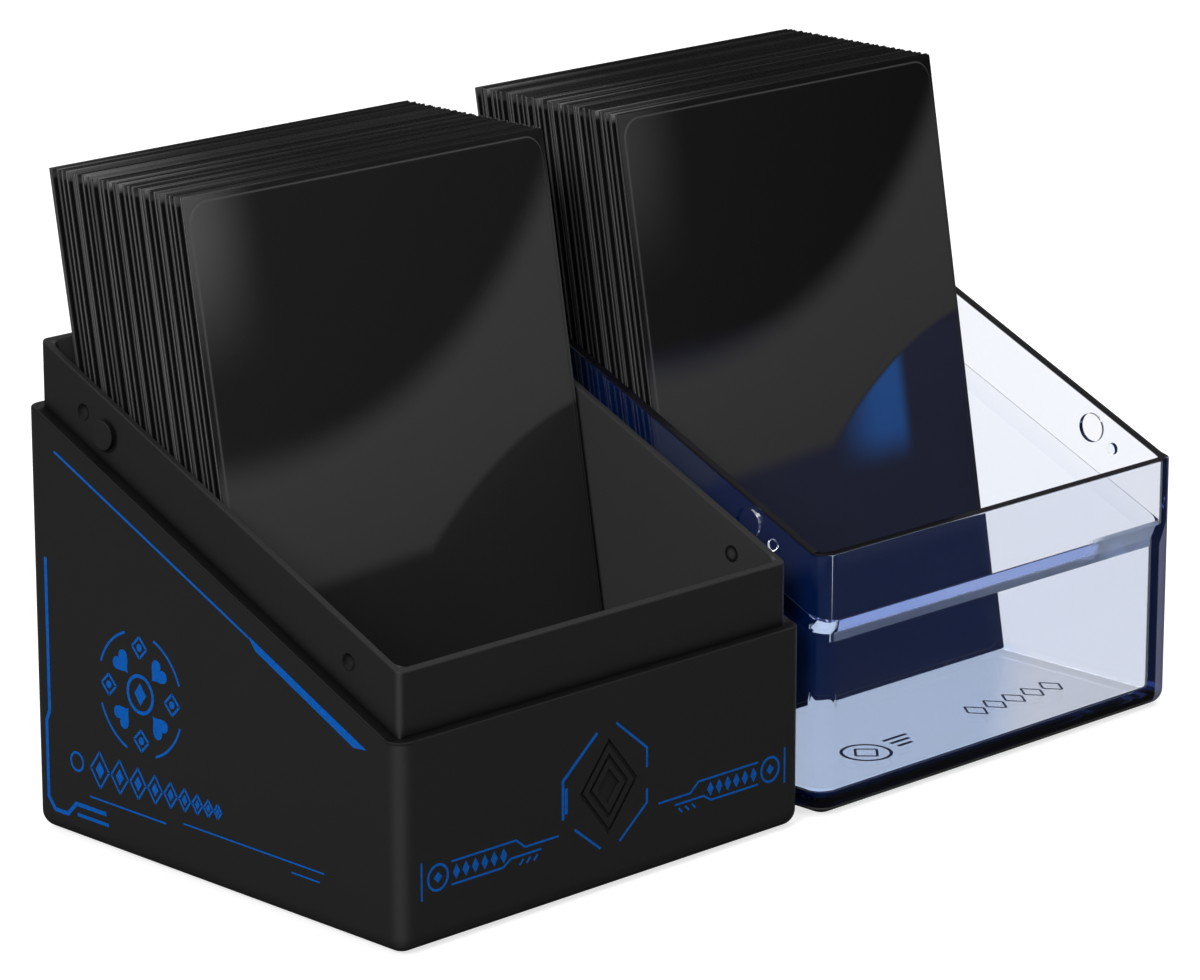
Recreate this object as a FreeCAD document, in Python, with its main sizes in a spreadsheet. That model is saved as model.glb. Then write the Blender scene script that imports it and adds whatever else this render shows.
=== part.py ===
import FreeCAD, Part
import math
import os
import Sketcher

from FreeCAD import Vector

# A two-part card box, opened: the black base and the clear blue lid stand side
# by side as two trays, and each holds a stack of sleeved cards that leans back.
# Millimetres, +Z up, +X from the base to the lid, -Y is the low front.
# The origin is the middle of the base's underside.

# ---------------------------------------------------------------- driving sizes
DRIVING_SIZES = (
    # A card, the sleeve round it and the play between them
    ("card_width", 63.0),
    ("card_height", 88.0),
    ("card_thick", 0.3),
    ("card_radius", 3.2),
    ("card_room", 0.9),             # beside the card, each side
    ("card_play", 0.03),            # before and behind the card
    ("card_seat", 0.1),             # card to the weld it stands on
    ("sleeve_mouth", 2.3),          # sleeve above the card
    ("sleeve_film", 0.13),
    ("sleeve_weld", 0.6),           # closed strip at the sides and the foot
    # The stacks of sleeved cards
    ("sleeve_gap", 0.03),           # from one sleeved card to the next
    ("base_stack_deep", 28.4),      # room for the stack in the base
    ("lid_stack_deep", 29.8),
    ("lean_angle", 10.0),           # degrees back from upright
    ("seat_gap", 0.1),              # foot of a sleeve to the floor
    ("lean_gap", 0.2),              # last sleeve to the rim behind it
    ("lid_stack_slack", 0.75),      # extra room behind the stack in the lid
    ("edge_scatter", 0.3),          # how far sleeves stand out sideways
    ("base_wall_gap", 0.6),         # sleeves to the right wall of the base
    ("lid_wall_gap", 0.2),          # sleeves to the right wall of the lid
    # Trays
    ("side_room", 2.1),             # beside a sleeve in the middle, each side
    ("head_room", 2.5),             # above a sleeve with the box shut
    ("outer_depth", 75.0),          # front to back, each tray
    ("shoulder_front", 29.1),       # underside to the base's shoulder, low end
    ("lid_stands_lower", 0.1),      # rim of the lid below the top of the neck
    ("rim_flat", 2.4),              # level stretch at each end of the parting line
    ("crease_radius", 3.0),         # round between a level stretch and the slant
    ("corner_radius", 2.6),         # upright outer corners
    ("foot_radius", 2.4),           # round along the underside
    ("cavity_radius", 1.4),         # upright inner corners
    ("cavity_foot_radius", 0.8),    # round along the inner floor
    ("tray_wall", 2.9),             # wall below the neck and below the recess
    ("floor_thick", 2.5),
    ("edge_round", 0.3),            # broken edges of shoulder, neck and lid rim
    # The neck of the base slips into a recess inside the rim of the lid
    ("neck_wall", 1.15),
    ("neck_height", 9.1),           # straight up from the shoulder
    ("neck_radius", 1.1),           # its upright outer corners
    ("fit_clearance", 0.15),        # neck to recess, each side
    ("ledge_gap", 0.7),             # top of the neck to the ledge, when shut
    ("ledge_drop", 2.6),            # height of the bevel under the ledge
    ("ledge_land", 0.1),            # flat left outside that bevel
    # Studs, dimples and bumps that snap the lid on, alike on both sides
    ("stud_radius", 2.1),
    ("stud_height", 0.65),
    ("stud_round", 0.2),
    ("stud_from_back", 15.2),
    ("stud_rise", 4.0),             # above the shoulder line
    ("dimple_radius", 1.1),
    ("dimple_depth", 0.55),
    ("dimple_from_back", 10.8),
    ("dimple_from_front", 11.3),
    ("dimple_rise", 4.4),           # above the shoulder line
    ("bump_round", 0.45),           # of the lid's bumps
    ("snap_clearance", 0.1),
    # Concentric lozenges sunk into the front of the base
    ("emblem_height", 13.6),
    ("emblem_width", 11.0),
    ("emblem_centre", 14.6),        # above the underside
    ("emblem_depth", 0.4),
    ("emblem_groove", 0.75),        # half the width that one line takes off
    ("emblem_rib", 0.95),           # half the width left between two lines
    # How the open box is set out
    ("parting_gap", 3.35),          # base to lid
    ("lid_forward", 0.5),           # front of the lid ahead of the base's
)

# ------------------------------------------------------------- worked-out sizes
WORKED_SIZES = (
    ("sleeve_width", "sizes.card_width + 2 * (sizes.card_room + sizes.sleeve_weld)"),
    ("sleeve_thick", "sizes.card_thick + 2 * (sizes.card_play + sizes.sleeve_film)"),
    ("sleeve_height", "sizes.sleeve_weld + sizes.card_seat + sizes.card_height"
                      " + sizes.sleeve_mouth"),
    ("cavity_width", "sleeve_width + 2 * sizes.side_room"),
    ("outer_width", "cavity_width + 2 * sizes.tray_wall"),
    ("closed_height", "sleeve_height + sizes.head_room + 2 * sizes.floor_thick"),
    ("shoulder_back", "closed_height - sizes.shoulder_front - sizes.neck_height"
                      " + sizes.lid_stands_lower"),
    ("neck_inset", "sizes.tray_wall - sizes.neck_wall"),
    ("neck_width", "outer_width - 2 * neck_inset"),
    ("neck_depth", "sizes.outer_depth - 2 * neck_inset"),
    ("cavity_depth", "sizes.outer_depth - 2 * sizes.tray_wall"),
    ("recess_width", "neck_width + 2 * sizes.fit_clearance"),
    ("recess_depth", "neck_depth + 2 * sizes.fit_clearance"),
    ("climb", "shoulder_back - sizes.shoulder_front"),
    ("slant", "climb / (sizes.outer_depth - 2 * sizes.rim_flat)"),
    ("shoulder_middle", "(sizes.shoulder_front + shoulder_back) / 2"),
    ("neck_middle", "shoulder_middle + sizes.neck_height"),
    ("lid_front", "closed_height - shoulder_back"),
    ("lid_middle", "lid_front + climb / 2"),
    ("ledge_middle", "lid_middle - sizes.neck_height - sizes.ledge_gap"),
    ("ledge_bevel", "sizes.neck_wall + sizes.fit_clearance - sizes.ledge_land"),
    ("recess_radius", "sizes.neck_radius + sizes.fit_clearance"),
    ("stud_y", "sizes.outer_depth / 2 - sizes.stud_from_back"),
    ("stud_z", "shoulder_middle + slant * stud_y + sizes.stud_rise"),
    ("back_dimple_y", "sizes.outer_depth / 2 - sizes.dimple_from_back"),
    ("back_dimple_z", "shoulder_middle + slant * back_dimple_y + sizes.dimple_rise"),
    ("front_dimple_y", "sizes.dimple_from_front - sizes.outer_depth / 2"),
    ("front_dimple_z", "shoulder_middle + slant * front_dimple_y + sizes.dimple_rise"),
    ("dimple_ball", "(sizes.dimple_radius ^ 2 + sizes.dimple_depth ^ 2)"
                    " / (2 * sizes.dimple_depth)"),
    ("lid_x", "outer_width + sizes.parting_gap"),
    ("lean_run", "tan(sizes.lean_angle)"),
    ("card_step", "(sleeve_thick + sizes.sleeve_gap) / cos(sizes.lean_angle)"),
    ("sleeve_span", "sleeve_thick / cos(sizes.lean_angle)"),
    ("foot_z", "sizes.floor_thick + sizes.seat_gap"
               " + sleeve_thick * sin(sizes.lean_angle)"),
    # where the back of the last sleeve would meet the floor's level
    ("base_rim_z", "neck_middle + slant * cavity_depth / 2 - foot_z"),
    ("base_stack_back", "cavity_depth / 2 - sizes.lean_gap - lean_run * base_rim_z"),
    ("lid_rim_z", "lid_middle + climb / 2 - foot_z"),
    ("lid_stack_back", "recess_depth / 2 - sizes.lean_gap - sizes.lid_stack_slack"
                       " - lean_run * lid_rim_z"),
    ("base_stack_x", "sizes.side_room - sizes.edge_scatter - sizes.base_wall_gap"),
    ("lid_stack_x", "sizes.side_room - sizes.edge_scatter - sizes.lid_wall_gap"),
)

doc = FreeCAD.newDocument("card_box")


def fill_sheet(name, rows, as_formula):
    sheet = doc.addObject("Spreadsheet::Sheet", name)
    for line, (alias, content) in enumerate(rows, start=1):
        sheet.set("A%d" % line, alias)
        sheet.set("B%d" % line, "=" + content if as_formula else str(content))
        sheet.setAlias("B%d" % line, alias)
    doc.recompute()
    return sheet


sizes = fill_sheet("sizes", DRIVING_SIZES, as_formula=False)
worked = fill_sheet("worked", WORKED_SIZES, as_formula=True)


def size(alias):
    """The value of a driving or worked-out size."""
    home = worked if any(alias == row[0] for row in WORKED_SIZES) else sizes
    return float(home.get(alias))


# ------------------------------------------------------------- sketching helpers
def new_sketch(body, name, plane, lift=None):
    """A sketch on one of the body's origin planes, lifted along its normal."""
    sketch = body.newObject("Sketcher::SketchObject", name)
    role = plane + "_Plane"
    support = [f for f in body.Origin.OriginFeatures if f.Role == role][0]
    sketch.AttachmentSupport = [(support, "")]
    sketch.MapMode = "FlatFace"
    if lift is not None:
        sketch.setExpression("AttachmentOffset.Base.z", lift)
    return sketch


def tie(sketch, kind, parts, formula):
    """Add a dimension whose value follows a formula."""
    value = sketch.evalExpression(formula)
    number = sketch.addConstraint(Sketcher.Constraint(kind, *parts, float(value)))
    sketch.setExpression("Constraints[%d]" % number, formula)


def half(formula):
    return "(%s) / 2" % formula


def add_polygon(sketch, corners):
    """A closed run of straight lines through corners given as two formulas each."""
    spots = [Vector(float(sketch.evalExpression(x)), float(sketch.evalExpression(y)), 0)
             for x, y in corners]
    first = sketch.GeometryCount
    for start, end in zip(spots, spots[1:] + spots[:1]):
        sketch.addGeometry(Part.LineSegment(start, end), False)
    for step, (x, y) in enumerate(corners):
        line = first + step
        following = first + (step + 1) % len(corners)
        sketch.addConstraint(Sketcher.Constraint("Coincident", line, 2, following, 1))
        tie(sketch, "DistanceX", (-1, 1, line, 1), x)
        tie(sketch, "DistanceY", (-1, 1, line, 1), y)


def add_rounded_rectangle(sketch, width, depth, radius):
    """A rectangle centred on the origin, with its four corners rounded."""
    r = float(sketch.evalExpression(radius))
    a = float(sketch.evalExpression(half(width))) - r
    b = float(sketch.evalExpression(half(depth))) - r
    centres = (Vector(a, -b, 0), Vector(a, b, 0), Vector(-a, b, 0), Vector(-a, -b, 0))
    for turn, centre in enumerate(centres):
        begin = math.radians(90 * turn - 90)
        circle = Part.Circle(centre, Vector(0, 0, 1), r)
        sketch.addGeometry(Part.ArcOfCircle(circle, begin, begin + math.pi / 2), False)
    for turn, centre in enumerate(centres):
        out = Vector(r, 0, 0) if turn % 2 == 0 else Vector(0, r, 0)
        if turn >= 2:
            out = out * -1
        start = centre + out
        end = centres[(turn + 1) % 4] + out
        sketch.addGeometry(Part.LineSegment(start, end), False)
    for turn in range(4):
        line = 4 + turn
        sketch.addConstraint(Sketcher.Constraint("Tangent", turn, 2, line, 1))
        sketch.addConstraint(Sketcher.Constraint("Tangent", line, 2, (turn + 1) % 4, 1))
        level = "Vertical" if turn % 2 == 0 else "Horizontal"
        sketch.addConstraint(Sketcher.Constraint(level, line))
    for turn in range(1, 4):
        sketch.addConstraint(Sketcher.Constraint("Equal", 0, turn))
    sketch.addConstraint(Sketcher.Constraint("Symmetric", 0, 3, 2, 3, -1, 1))
    tie(sketch, "Radius", (0,), radius)
    tie(sketch, "DistanceX", (6, 1, 4, 1), width)
    tie(sketch, "DistanceY", (7, 1, 5, 1), depth)


def add_circle(sketch, x, y, radius):
    spot = Vector(float(sketch.evalExpression(x)), float(sketch.evalExpression(y)), 0)
    r = float(sketch.evalExpression(radius))
    ring = sketch.addGeometry(Part.Circle(spot, Vector(0, 0, 1), r), False)
    tie(sketch, "DistanceX", (-1, 1, ring, 3), x)
    tie(sketch, "DistanceY", (-1, 1, ring, 3), y)
    tie(sketch, "Radius", (ring,), radius)


# ------------------------------------------------------------ modelling helpers
def near(a, b):
    return abs(a - b) < 1e-4  # mm


def pad(body, name, sketch, length, backward=False):
    feature = body.newObject("PartDesign::Pad", name)
    feature.Profile = sketch
    feature.Reversed = backward
    feature.setExpression("Length", length)
    doc.recompute()
    return feature


def pocket(body, name, sketch, length=None, backward=False, symmetric=False):
    """Cut a sketch out of the body, right through it where no length is given."""
    before = body.Shape.Volume
    feature = body.newObject("PartDesign::Pocket", name)
    feature.Profile = sketch
    feature.SideType = "Symmetric" if symmetric else "One side"
    feature.Reversed = backward
    if length is None:
        feature.Type = "ThroughAll"
    else:
        feature.setExpression("Length", length)
    doc.recompute()
    if feature.Shape.Volume >= before:
        raise RuntimeError(name + " cuts nothing")
    return feature


def edges_where(shape, *tests):
    """Names of the edges whose ends and middle pass every test."""
    names = []
    for number, edge in enumerate(shape.Edges, start=1):
        first, last = edge.ParameterRange
        spots = [edge.valueAt(t) for t in (first, (first + last) / 2, last)]
        if all(test(spot) for test in tests for spot in spots):
            names.append("Edge%d" % number)
    return names


def at_height(height):
    return lambda spot: near(spot.z, height)


def on_slant(middle):
    """In the slanted plane that passes over the tray's middle at a height."""
    slant = size("slant")
    return lambda spot: near(spot.z, middle + slant * spot.y)


def on_parting_surface(low):
    """On the level, slanted and level again surface that starts at a low end."""
    run = size("outer_depth") / 2 - size("rim_flat")
    slant = size("slant")
    climb = size("climb")
    radius = size("crease_radius")
    turn = math.atan(slant)
    ease = radius * math.tan(turn / 2)

    def height(y):
        if y > 0:
            return 2 * low + climb - height(-y)
        out = y + run + ease
        if out <= 0:
            return low
        if out < radius * math.sin(turn):
            return low + radius - math.sqrt(radius ** 2 - out ** 2)
        return low + climb / 2 + slant * y
    return lambda spot: near(spot.z, height(spot.y))


def on_outline(width, depth, radius):
    """On the upright wall over a rounded rectangle."""
    def test(spot):
        x = abs(spot.x) - width / 2 + radius
        y = abs(spot.y) - depth / 2 + radius
        outside = math.hypot(max(x, 0), max(y, 0))
        return near(outside + min(max(x, y), 0), radius)
    return test


def fillet(body, name, edges, radius):
    """Round named edges of the body's last feature."""
    if not edges:
        raise RuntimeError(name + " finds no edge")
    feature = body.newObject("PartDesign::Fillet", name)
    feature.Base = (feature.BaseFeature, edges)
    feature.setExpression("Radius", radius)
    doc.recompute()
    return feature


def bevel(body, name, edges, along_top, down_wall):
    """A bevel that takes more off the wall under an edge than off its top."""
    feature = body.newObject("PartDesign::Chamfer", name)
    feature.Base = (feature.BaseFeature, edges)
    feature.ChamferType = "Two distances"
    feature.FlipDirection = True
    feature.setExpression("Size", along_top)
    feature.setExpression("Size2", down_wall)
    doc.recompute()
    return feature


def ball(body, name, kind, x, y, z, radius):
    """A ball added to the body or taken out of it, centred at x, y, z."""
    before = body.Shape.Volume
    feature = body.newObject("PartDesign::%sSphere" % kind, name)
    feature.setExpression("Radius", radius)
    feature.setExpression("Placement.Base.x", x)
    feature.setExpression("Placement.Base.y", y)
    feature.setExpression("Placement.Base.z", z)
    doc.recompute()
    if near(feature.Shape.Volume, before):
        raise RuntimeError(name + " changes nothing")
    return feature


def mirror_sideways(body, name, features):
    """Repeat features on the other side of the tray."""
    mirror = body.newObject("PartDesign::Mirrored", name)
    mirror.Originals = features
    plane = [f for f in body.Origin.OriginFeatures if f.Role == "YZ_Plane"][0]
    mirror.MirrorPlane = (plane, [""])
    body.Tip = mirror
    doc.recompute()
    return mirror


# ------------------------------------------------------------------------ trays
ABOVE_ALL = "worked.closed_height + worked.shoulder_back"
WELL_BEHIND = "sizes.outer_depth"


def cut_to_parting_line(body, name, low):
    """Cut off all that is over the parting line: level, slanted, level again."""
    high = "(%s) + worked.climb" % low
    middle = "(%s) + worked.climb / 2" % low
    sketch = new_sketch(body, name + "_profile", "YZ")
    lo = float(sketch.evalExpression(low))
    hi = float(sketch.evalExpression(high))
    top = float(sketch.evalExpression(ABOVE_ALL))
    reach = float(sketch.evalExpression(WELL_BEHIND))
    run = size("outer_depth") / 2 - size("rim_flat")
    radius = size("crease_radius")
    turn = math.atan(size("slant"))
    ease = radius * math.tan(turn / 2)
    ramp = Vector(math.cos(turn), math.sin(turn), 0) * ease
    low_start = Vector(-run - ease, lo, 0)
    low_end = Vector(-run, lo, 0) + ramp
    high_start = Vector(run, hi, 0) - ramp
    high_end = Vector(run + ease, hi, 0)
    corners = (Vector(reach, hi, 0), Vector(reach, top, 0),
               Vector(-reach, top, 0), Vector(-reach, lo, 0))
    rise = Part.Circle(Vector(-run - ease, lo + radius, 0), Vector(0, 0, 1), radius)
    fall = Part.Circle(Vector(run + ease, hi - radius, 0), Vector(0, 0, 1), radius)
    down = -math.pi / 2
    up = math.pi / 2
    for piece in (
        Part.LineSegment(corners[3], low_start),
        Part.ArcOfCircle(rise, down, down + turn),
        Part.LineSegment(low_end, high_start),
        Part.ArcOfCircle(fall, up, up + turn),
        Part.LineSegment(high_end, corners[0]),
        Part.LineSegment(corners[0], corners[1]),
        Part.LineSegment(corners[1], corners[2]),
        Part.LineSegment(corners[2], corners[3]),
    ):
        sketch.addGeometry(piece, False)
    pivot = sketch.addGeometry(Part.Point(Vector(0, (lo + hi) / 2, 0)), True)
    for rule in (
        ("Tangent", 0, 2, 1, 1), ("Tangent", 1, 2, 2, 1),
        ("Tangent", 2, 2, 3, 2), ("Tangent", 3, 1, 4, 1),
        ("Coincident", 4, 2, 5, 1), ("Coincident", 5, 2, 6, 1),
        ("Coincident", 6, 2, 7, 1), ("Coincident", 7, 2, 0, 1),
        ("Horizontal", 0), ("Horizontal", 4), ("Horizontal", 6),
        ("Vertical", 5), ("Vertical", 7),
        ("Symmetric", 2, 1, 2, 2, pivot, 1), ("PointOnObject", pivot, 1, -2),
    ):
        sketch.addConstraint(Sketcher.Constraint(*rule))
    tie(sketch, "DistanceY", (-1, 1, pivot, 1), middle)
    tie(sketch, "DistanceY", (-1, 1, 0, 1), low)
    tie(sketch, "DistanceY", (-1, 1, 5, 1), high)
    tie(sketch, "DistanceY", (-1, 1, 6, 1), ABOVE_ALL)
    tie(sketch, "DistanceX", (-1, 1, 5, 1), WELL_BEHIND)
    tie(sketch, "DistanceX", (7, 2, -1, 1), WELL_BEHIND)
    tie(sketch, "Radius", (1,), "sizes.crease_radius")
    slope = sketch.addConstraint(Sketcher.Constraint("Angle", 2, turn))
    sketch.setExpression("Constraints[%d]" % slope, "atan(worked.slant)")
    pocket(body, name, sketch, symmetric=True)


def slanted_polygon(sketch, middle, reach):
    """Everything above a slanted line that passes the tray's middle at a height."""
    add_polygon(sketch, (
        ("-(%s)" % reach, "%s - worked.slant * (%s)" % (middle, reach)),
        (reach, "%s + worked.slant * (%s)" % (middle, reach)),
        (reach, ABOVE_ALL),
        ("-(%s)" % reach, ABOVE_ALL),
    ))


def start_tray(name, height):
    """The outside of a tray as a full-height block with its foot rounded."""
    body = doc.addObject("PartDesign::Body", name)
    outline = new_sketch(body, name + "_outline", "XY")
    add_rounded_rectangle(outline, "worked.outer_width", "sizes.outer_depth",
                          "sizes.corner_radius")
    pad(body, name + "_block", outline, height)
    fillet(body, name + "_foot", edges_where(body.Shape, at_height(0)),
          "sizes.foot_radius")
    return body


def hollow_tray(body):
    """The cavity, from the floor up through the top, its foot rounded."""
    name = body.Name
    opening = new_sketch(body, name + "_opening", "XY", lift="sizes.floor_thick")
    add_rounded_rectangle(opening, "worked.cavity_width", "worked.cavity_depth",
                          "sizes.cavity_radius")
    pocket(body, name + "_cavity", opening, backward=True)
    floor = size("floor_thick")
    fillet(body, name + "_cavity_foot",
          edges_where(body.Shape, at_height(floor)), "sizes.cavity_foot_radius")


def outer_wall():
    return on_outline(size("outer_width"), size("outer_depth"), size("corner_radius"))


def recess_wall():
    return on_outline(size("recess_width"), size("recess_depth"), size("recess_radius"))


def cavity_wall():
    return on_outline(size("cavity_width"), size("cavity_depth"), size("cavity_radius"))


def build_base():
    body = start_tray("base_shell", "worked.shoulder_back")
    cut_to_parting_line(body, "shoulder", "sizes.shoulder_front")
    fillet(body, "shoulder_edge",
          edges_where(body.Shape, outer_wall(),
                      on_parting_surface(size("shoulder_front"))),
          "sizes.edge_round")

    neck = new_sketch(body, "neck_outline", "XY", lift="sizes.floor_thick")
    add_rounded_rectangle(neck, "worked.neck_width", "worked.neck_depth",
                          "sizes.neck_radius")
    pad(body, "neck_block", neck, "worked.closed_height")
    neck_top = new_sketch(body, "neck_top_profile", "YZ")
    slanted_polygon(neck_top, "worked.neck_middle", WELL_BEHIND)
    pocket(body, "neck_top", neck_top, symmetric=True)

    hollow_tray(body)
    fillet(body, "neck_rim",
          edges_where(body.Shape, on_slant(size("neck_middle"))),
          "sizes.edge_round")

    side = "worked.neck_width / 2"
    stud_sketch = new_sketch(body, "stud_outline", "YZ", lift=side)
    add_circle(stud_sketch, "worked.stud_y", "worked.stud_z", "sizes.stud_radius")
    stud = pad(body, "stud", stud_sketch, "sizes.stud_height")
    ball_x = side + " + worked.dimple_ball - sizes.dimple_depth"
    dimples = [ball(body, spot, "Subtractive", ball_x, "worked.%s_y" % spot,
                    "worked.%s_z" % spot, "worked.dimple_ball")
               for spot in ("back_dimple", "front_dimple")]
    mirror_sideways(body, "far_snaps", [stud] + dimples)
    stud_face = size("neck_width") / 2 + size("stud_height")
    fillet(body, "stud_edge",
          edges_where(body.Shape, lambda spot: near(abs(spot.x), stud_face)),
          "sizes.stud_round")

    emblem = new_sketch(body, "emblem_outline", "XZ", lift="sizes.outer_depth / 2")
    add_lozenges(emblem)
    pocket(body, "emblem", emblem, "sizes.emblem_depth")
    return body


def add_lozenges(sketch):
    """Two lozenge-shaped lines round a solid lozenge, one inside the other."""
    for line in range(5):
        grooves = (line + 1) // 2
        ribs = line // 2
        reach = ("(sizes.emblem_width / 2 - %d * sizes.emblem_groove"
                 " - %d * sizes.emblem_rib)" % (grooves, ribs))
        tall = "%s * sizes.emblem_height / sizes.emblem_width" % reach
        add_polygon(sketch, (
            (reach, "sizes.emblem_centre"),
            ("0", "sizes.emblem_centre + " + tall),
            ("-" + reach, "sizes.emblem_centre"),
            ("0", "sizes.emblem_centre - " + tall),
        ))


def build_lid():
    """The lid as a tray of its own, set down beside the base."""
    body = start_tray("lid_shell", "worked.lid_front + worked.climb")
    cut_to_parting_line(body, "rim", "worked.lid_front")
    hollow_tray(body)

    ledge_plane = body.newObject("PartDesign::Plane", "ledge_plane")
    ledge_plane.MapMode = "Deactivated"
    ledge_plane.Placement.Rotation = FreeCAD.Rotation(Vector(1, 0, 0), 1)
    ledge_plane.setExpression("Placement.Base.z", "worked.ledge_middle")
    ledge_plane.setExpression("Placement.Rotation.Angle", "atan(worked.slant)")
    recess_sketch = new_sketch(body, "recess_outline", "XY", lift=ABOVE_ALL)
    add_rounded_rectangle(recess_sketch, "worked.recess_width", "worked.recess_depth",
                          "worked.recess_radius")
    recess = body.newObject("PartDesign::Pocket", "recess")
    recess.Profile = recess_sketch
    recess.Type = "UpToFace"
    recess.UpToFace = (ledge_plane, [""])
    doc.recompute()
    bevel(body, "ledge_bevel",
          edges_where(body.Shape, cavity_wall(), on_slant(size("ledge_middle"))),
          "worked.ledge_bevel", "sizes.ledge_drop")
    rim = on_parting_surface(size("lid_front"))
    fillet(body, "rim_edge",
          edges_where(body.Shape, outer_wall(), rim)
          + edges_where(body.Shape, recess_wall(), rim),
          "sizes.edge_round")

    # Shut, the lid is turned over front to back, so what it snaps on lies at
    # the opposite end here, as far under the closed height as it is high.
    side = "worked.recess_width / 2"
    socket_sketch = new_sketch(body, "socket_outline", "YZ", lift=side)
    add_circle(socket_sketch, "-worked.stud_y", "worked.closed_height - worked.stud_z",
               "sizes.stud_radius + sizes.snap_clearance")
    socket = pocket(body, "socket", socket_sketch,
                    "sizes.stud_height + sizes.snap_clearance", backward=True)
    bump_height = "sizes.dimple_depth + sizes.fit_clearance - sizes.snap_clearance"
    bumps = []
    for spot in ("back", "front"):
        bump_sketch = new_sketch(body, spot + "_bump_outline", "YZ", lift=side)
        add_circle(bump_sketch, "-worked.%s_dimple_y" % spot,
                   "worked.closed_height - worked.%s_dimple_z" % spot,
                   "sizes.dimple_radius - 2 * sizes.snap_clearance")
        bumps.append(pad(body, spot + "_bump", bump_sketch, bump_height,
                         backward=True))
    mirror_sideways(body, "far_snaps_of_lid", [socket] + bumps)
    bump_face = (size("recess_width") / 2 - size("dimple_depth")
                 - size("fit_clearance") + size("snap_clearance"))
    fillet(body, "bump_edges",
          edges_where(body.Shape, lambda spot: near(abs(spot.x), bump_face)),
          "sizes.bump_round")

    body.setExpression("Placement.Base.x", "worked.lid_x")
    body.setExpression("Placement.Base.y", "-sizes.lid_forward")
    return body


# ---------------------------------------------------------------- sleeved cards
class Stack:
    """A stack of sleeved cards in the base or the lid: a front card and pairs."""

    def __init__(self, name, tray_x, tray_y):
        room = size(name + "_stack_deep") - size("sleeve_span")
        self.name = name
        self.pairs = int(room / (2 * size("card_step")))
        self.x = "%s + worked.%s_stack_x" % (tray_x, name)
        self.front = "(%s + worked.%s_stack_back - %d * worked.card_step%s)" % (
            tray_y, name, 2 * self.pairs, " - worked.sleeve_span")

    def place(self, piece, number, corner="0"):
        """Stand a piece in the stack, leaning back; 0 is the front card."""
        sway = "sizes.edge_scatter * sin(%s)" % (number * 137.5)
        piece.Placement.Rotation = FreeCAD.Rotation(Vector(1, 0, 0), -1)
        piece.setExpression("Placement.Rotation.Angle", "-sizes.lean_angle * 1 deg")
        piece.setExpression("Placement.Base.x",
                            "%s + %s - %s" % (self.x, sway, corner))
        piece.setExpression("Placement.Base.y",
                            "%s + %d * worked.card_step" % (self.front, number))
        piece.setExpression("Placement.Base.z", "worked.foot_z")


def build_pair(stack, pair):
    """Two sleeved cards, closed slabs that stand one behind the other."""
    name = "%s_sleeved_pair_%02d" % (stack.name, pair)
    slabs = []
    for number in (2 * pair - 1, 2 * pair):
        slab = doc.addObject("Part::Box", "%s_slab_%02d" % (stack.name, number))
        slab.setExpression("Length", "worked.sleeve_width")
        slab.setExpression("Width", "worked.sleeve_thick")
        slab.setExpression("Height", "worked.sleeve_height")
        stack.place(slab, number, corner="worked.sleeve_width / 2")
        slabs.append(slab)
    group = doc.addObject("Part::Compound", name)
    group.Links = slabs
    return group


def build_front_sleeve(stack):
    """An open-topped pouch, welded at its sides and foot."""
    name = stack.name + "_front_sleeve"
    body = doc.addObject("PartDesign::Body", name)
    outline = new_sketch(body, name + "_outline", "XY")
    add_polygon(outline, (
        ("-worked.sleeve_width / 2", "0"),
        ("worked.sleeve_width / 2", "0"),
        ("worked.sleeve_width / 2", "worked.sleeve_thick"),
        ("-worked.sleeve_width / 2", "worked.sleeve_thick"),
    ))
    pad(body, name + "_block", outline, "worked.sleeve_height")
    mouth = new_sketch(body, name + "_mouth", "XY", lift="sizes.sleeve_weld")
    add_polygon(mouth, (
        ("-worked.sleeve_width / 2 + sizes.sleeve_weld", "sizes.sleeve_film"),
        ("worked.sleeve_width / 2 - sizes.sleeve_weld", "sizes.sleeve_film"),
        ("worked.sleeve_width / 2 - sizes.sleeve_weld",
         "worked.sleeve_thick - sizes.sleeve_film"),
        ("-worked.sleeve_width / 2 + sizes.sleeve_weld",
         "worked.sleeve_thick - sizes.sleeve_film"),
    ))
    pocket(body, name + "_slot", mouth, backward=True)
    stack.place(body, 0)
    return body


def build_front_card(stack):
    """The card inside the front sleeve."""
    name = stack.name + "_front_card"
    body = doc.addObject("PartDesign::Body", name)
    front = "-(worked.sleeve_thick - sizes.card_thick) / 2 - sizes.card_thick"
    outline = new_sketch(body, name + "_outline", "XZ", lift=front)
    outline.setExpression(
        "AttachmentOffset.Base.y",
        "sizes.sleeve_weld + sizes.card_seat + sizes.card_height / 2")
    add_rounded_rectangle(outline, "sizes.card_width", "sizes.card_height",
                          "sizes.card_radius")
    pad(body, name + "_sheet", outline, "sizes.card_thick")
    stack.place(body, 0)
    return body


def build_stack(stack):
    pieces = [build_front_sleeve(stack), build_front_card(stack)]
    pieces += [build_pair(stack, pair) for pair in range(1, stack.pairs + 1)]
    return pieces


# --------------------------------------------------------------- build and write
base_stack = Stack("base", "0", "0")
lid_stack = Stack("lid", "worked.lid_x", "-sizes.lid_forward")
nodes = [build_base(), build_lid()]
nodes += build_stack(base_stack) + build_stack(lid_stack)
doc.recompute()

for thing in doc.Objects:
    if "Invalid" in thing.State or "Error" in thing.State:
        raise RuntimeError("%s failed: %s" % (thing.Label, thing.State))
for node in nodes:
    if node.Shape.isNull() or not node.Shape.isValid():
        raise RuntimeError(node.Label + " has no valid shape")

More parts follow.
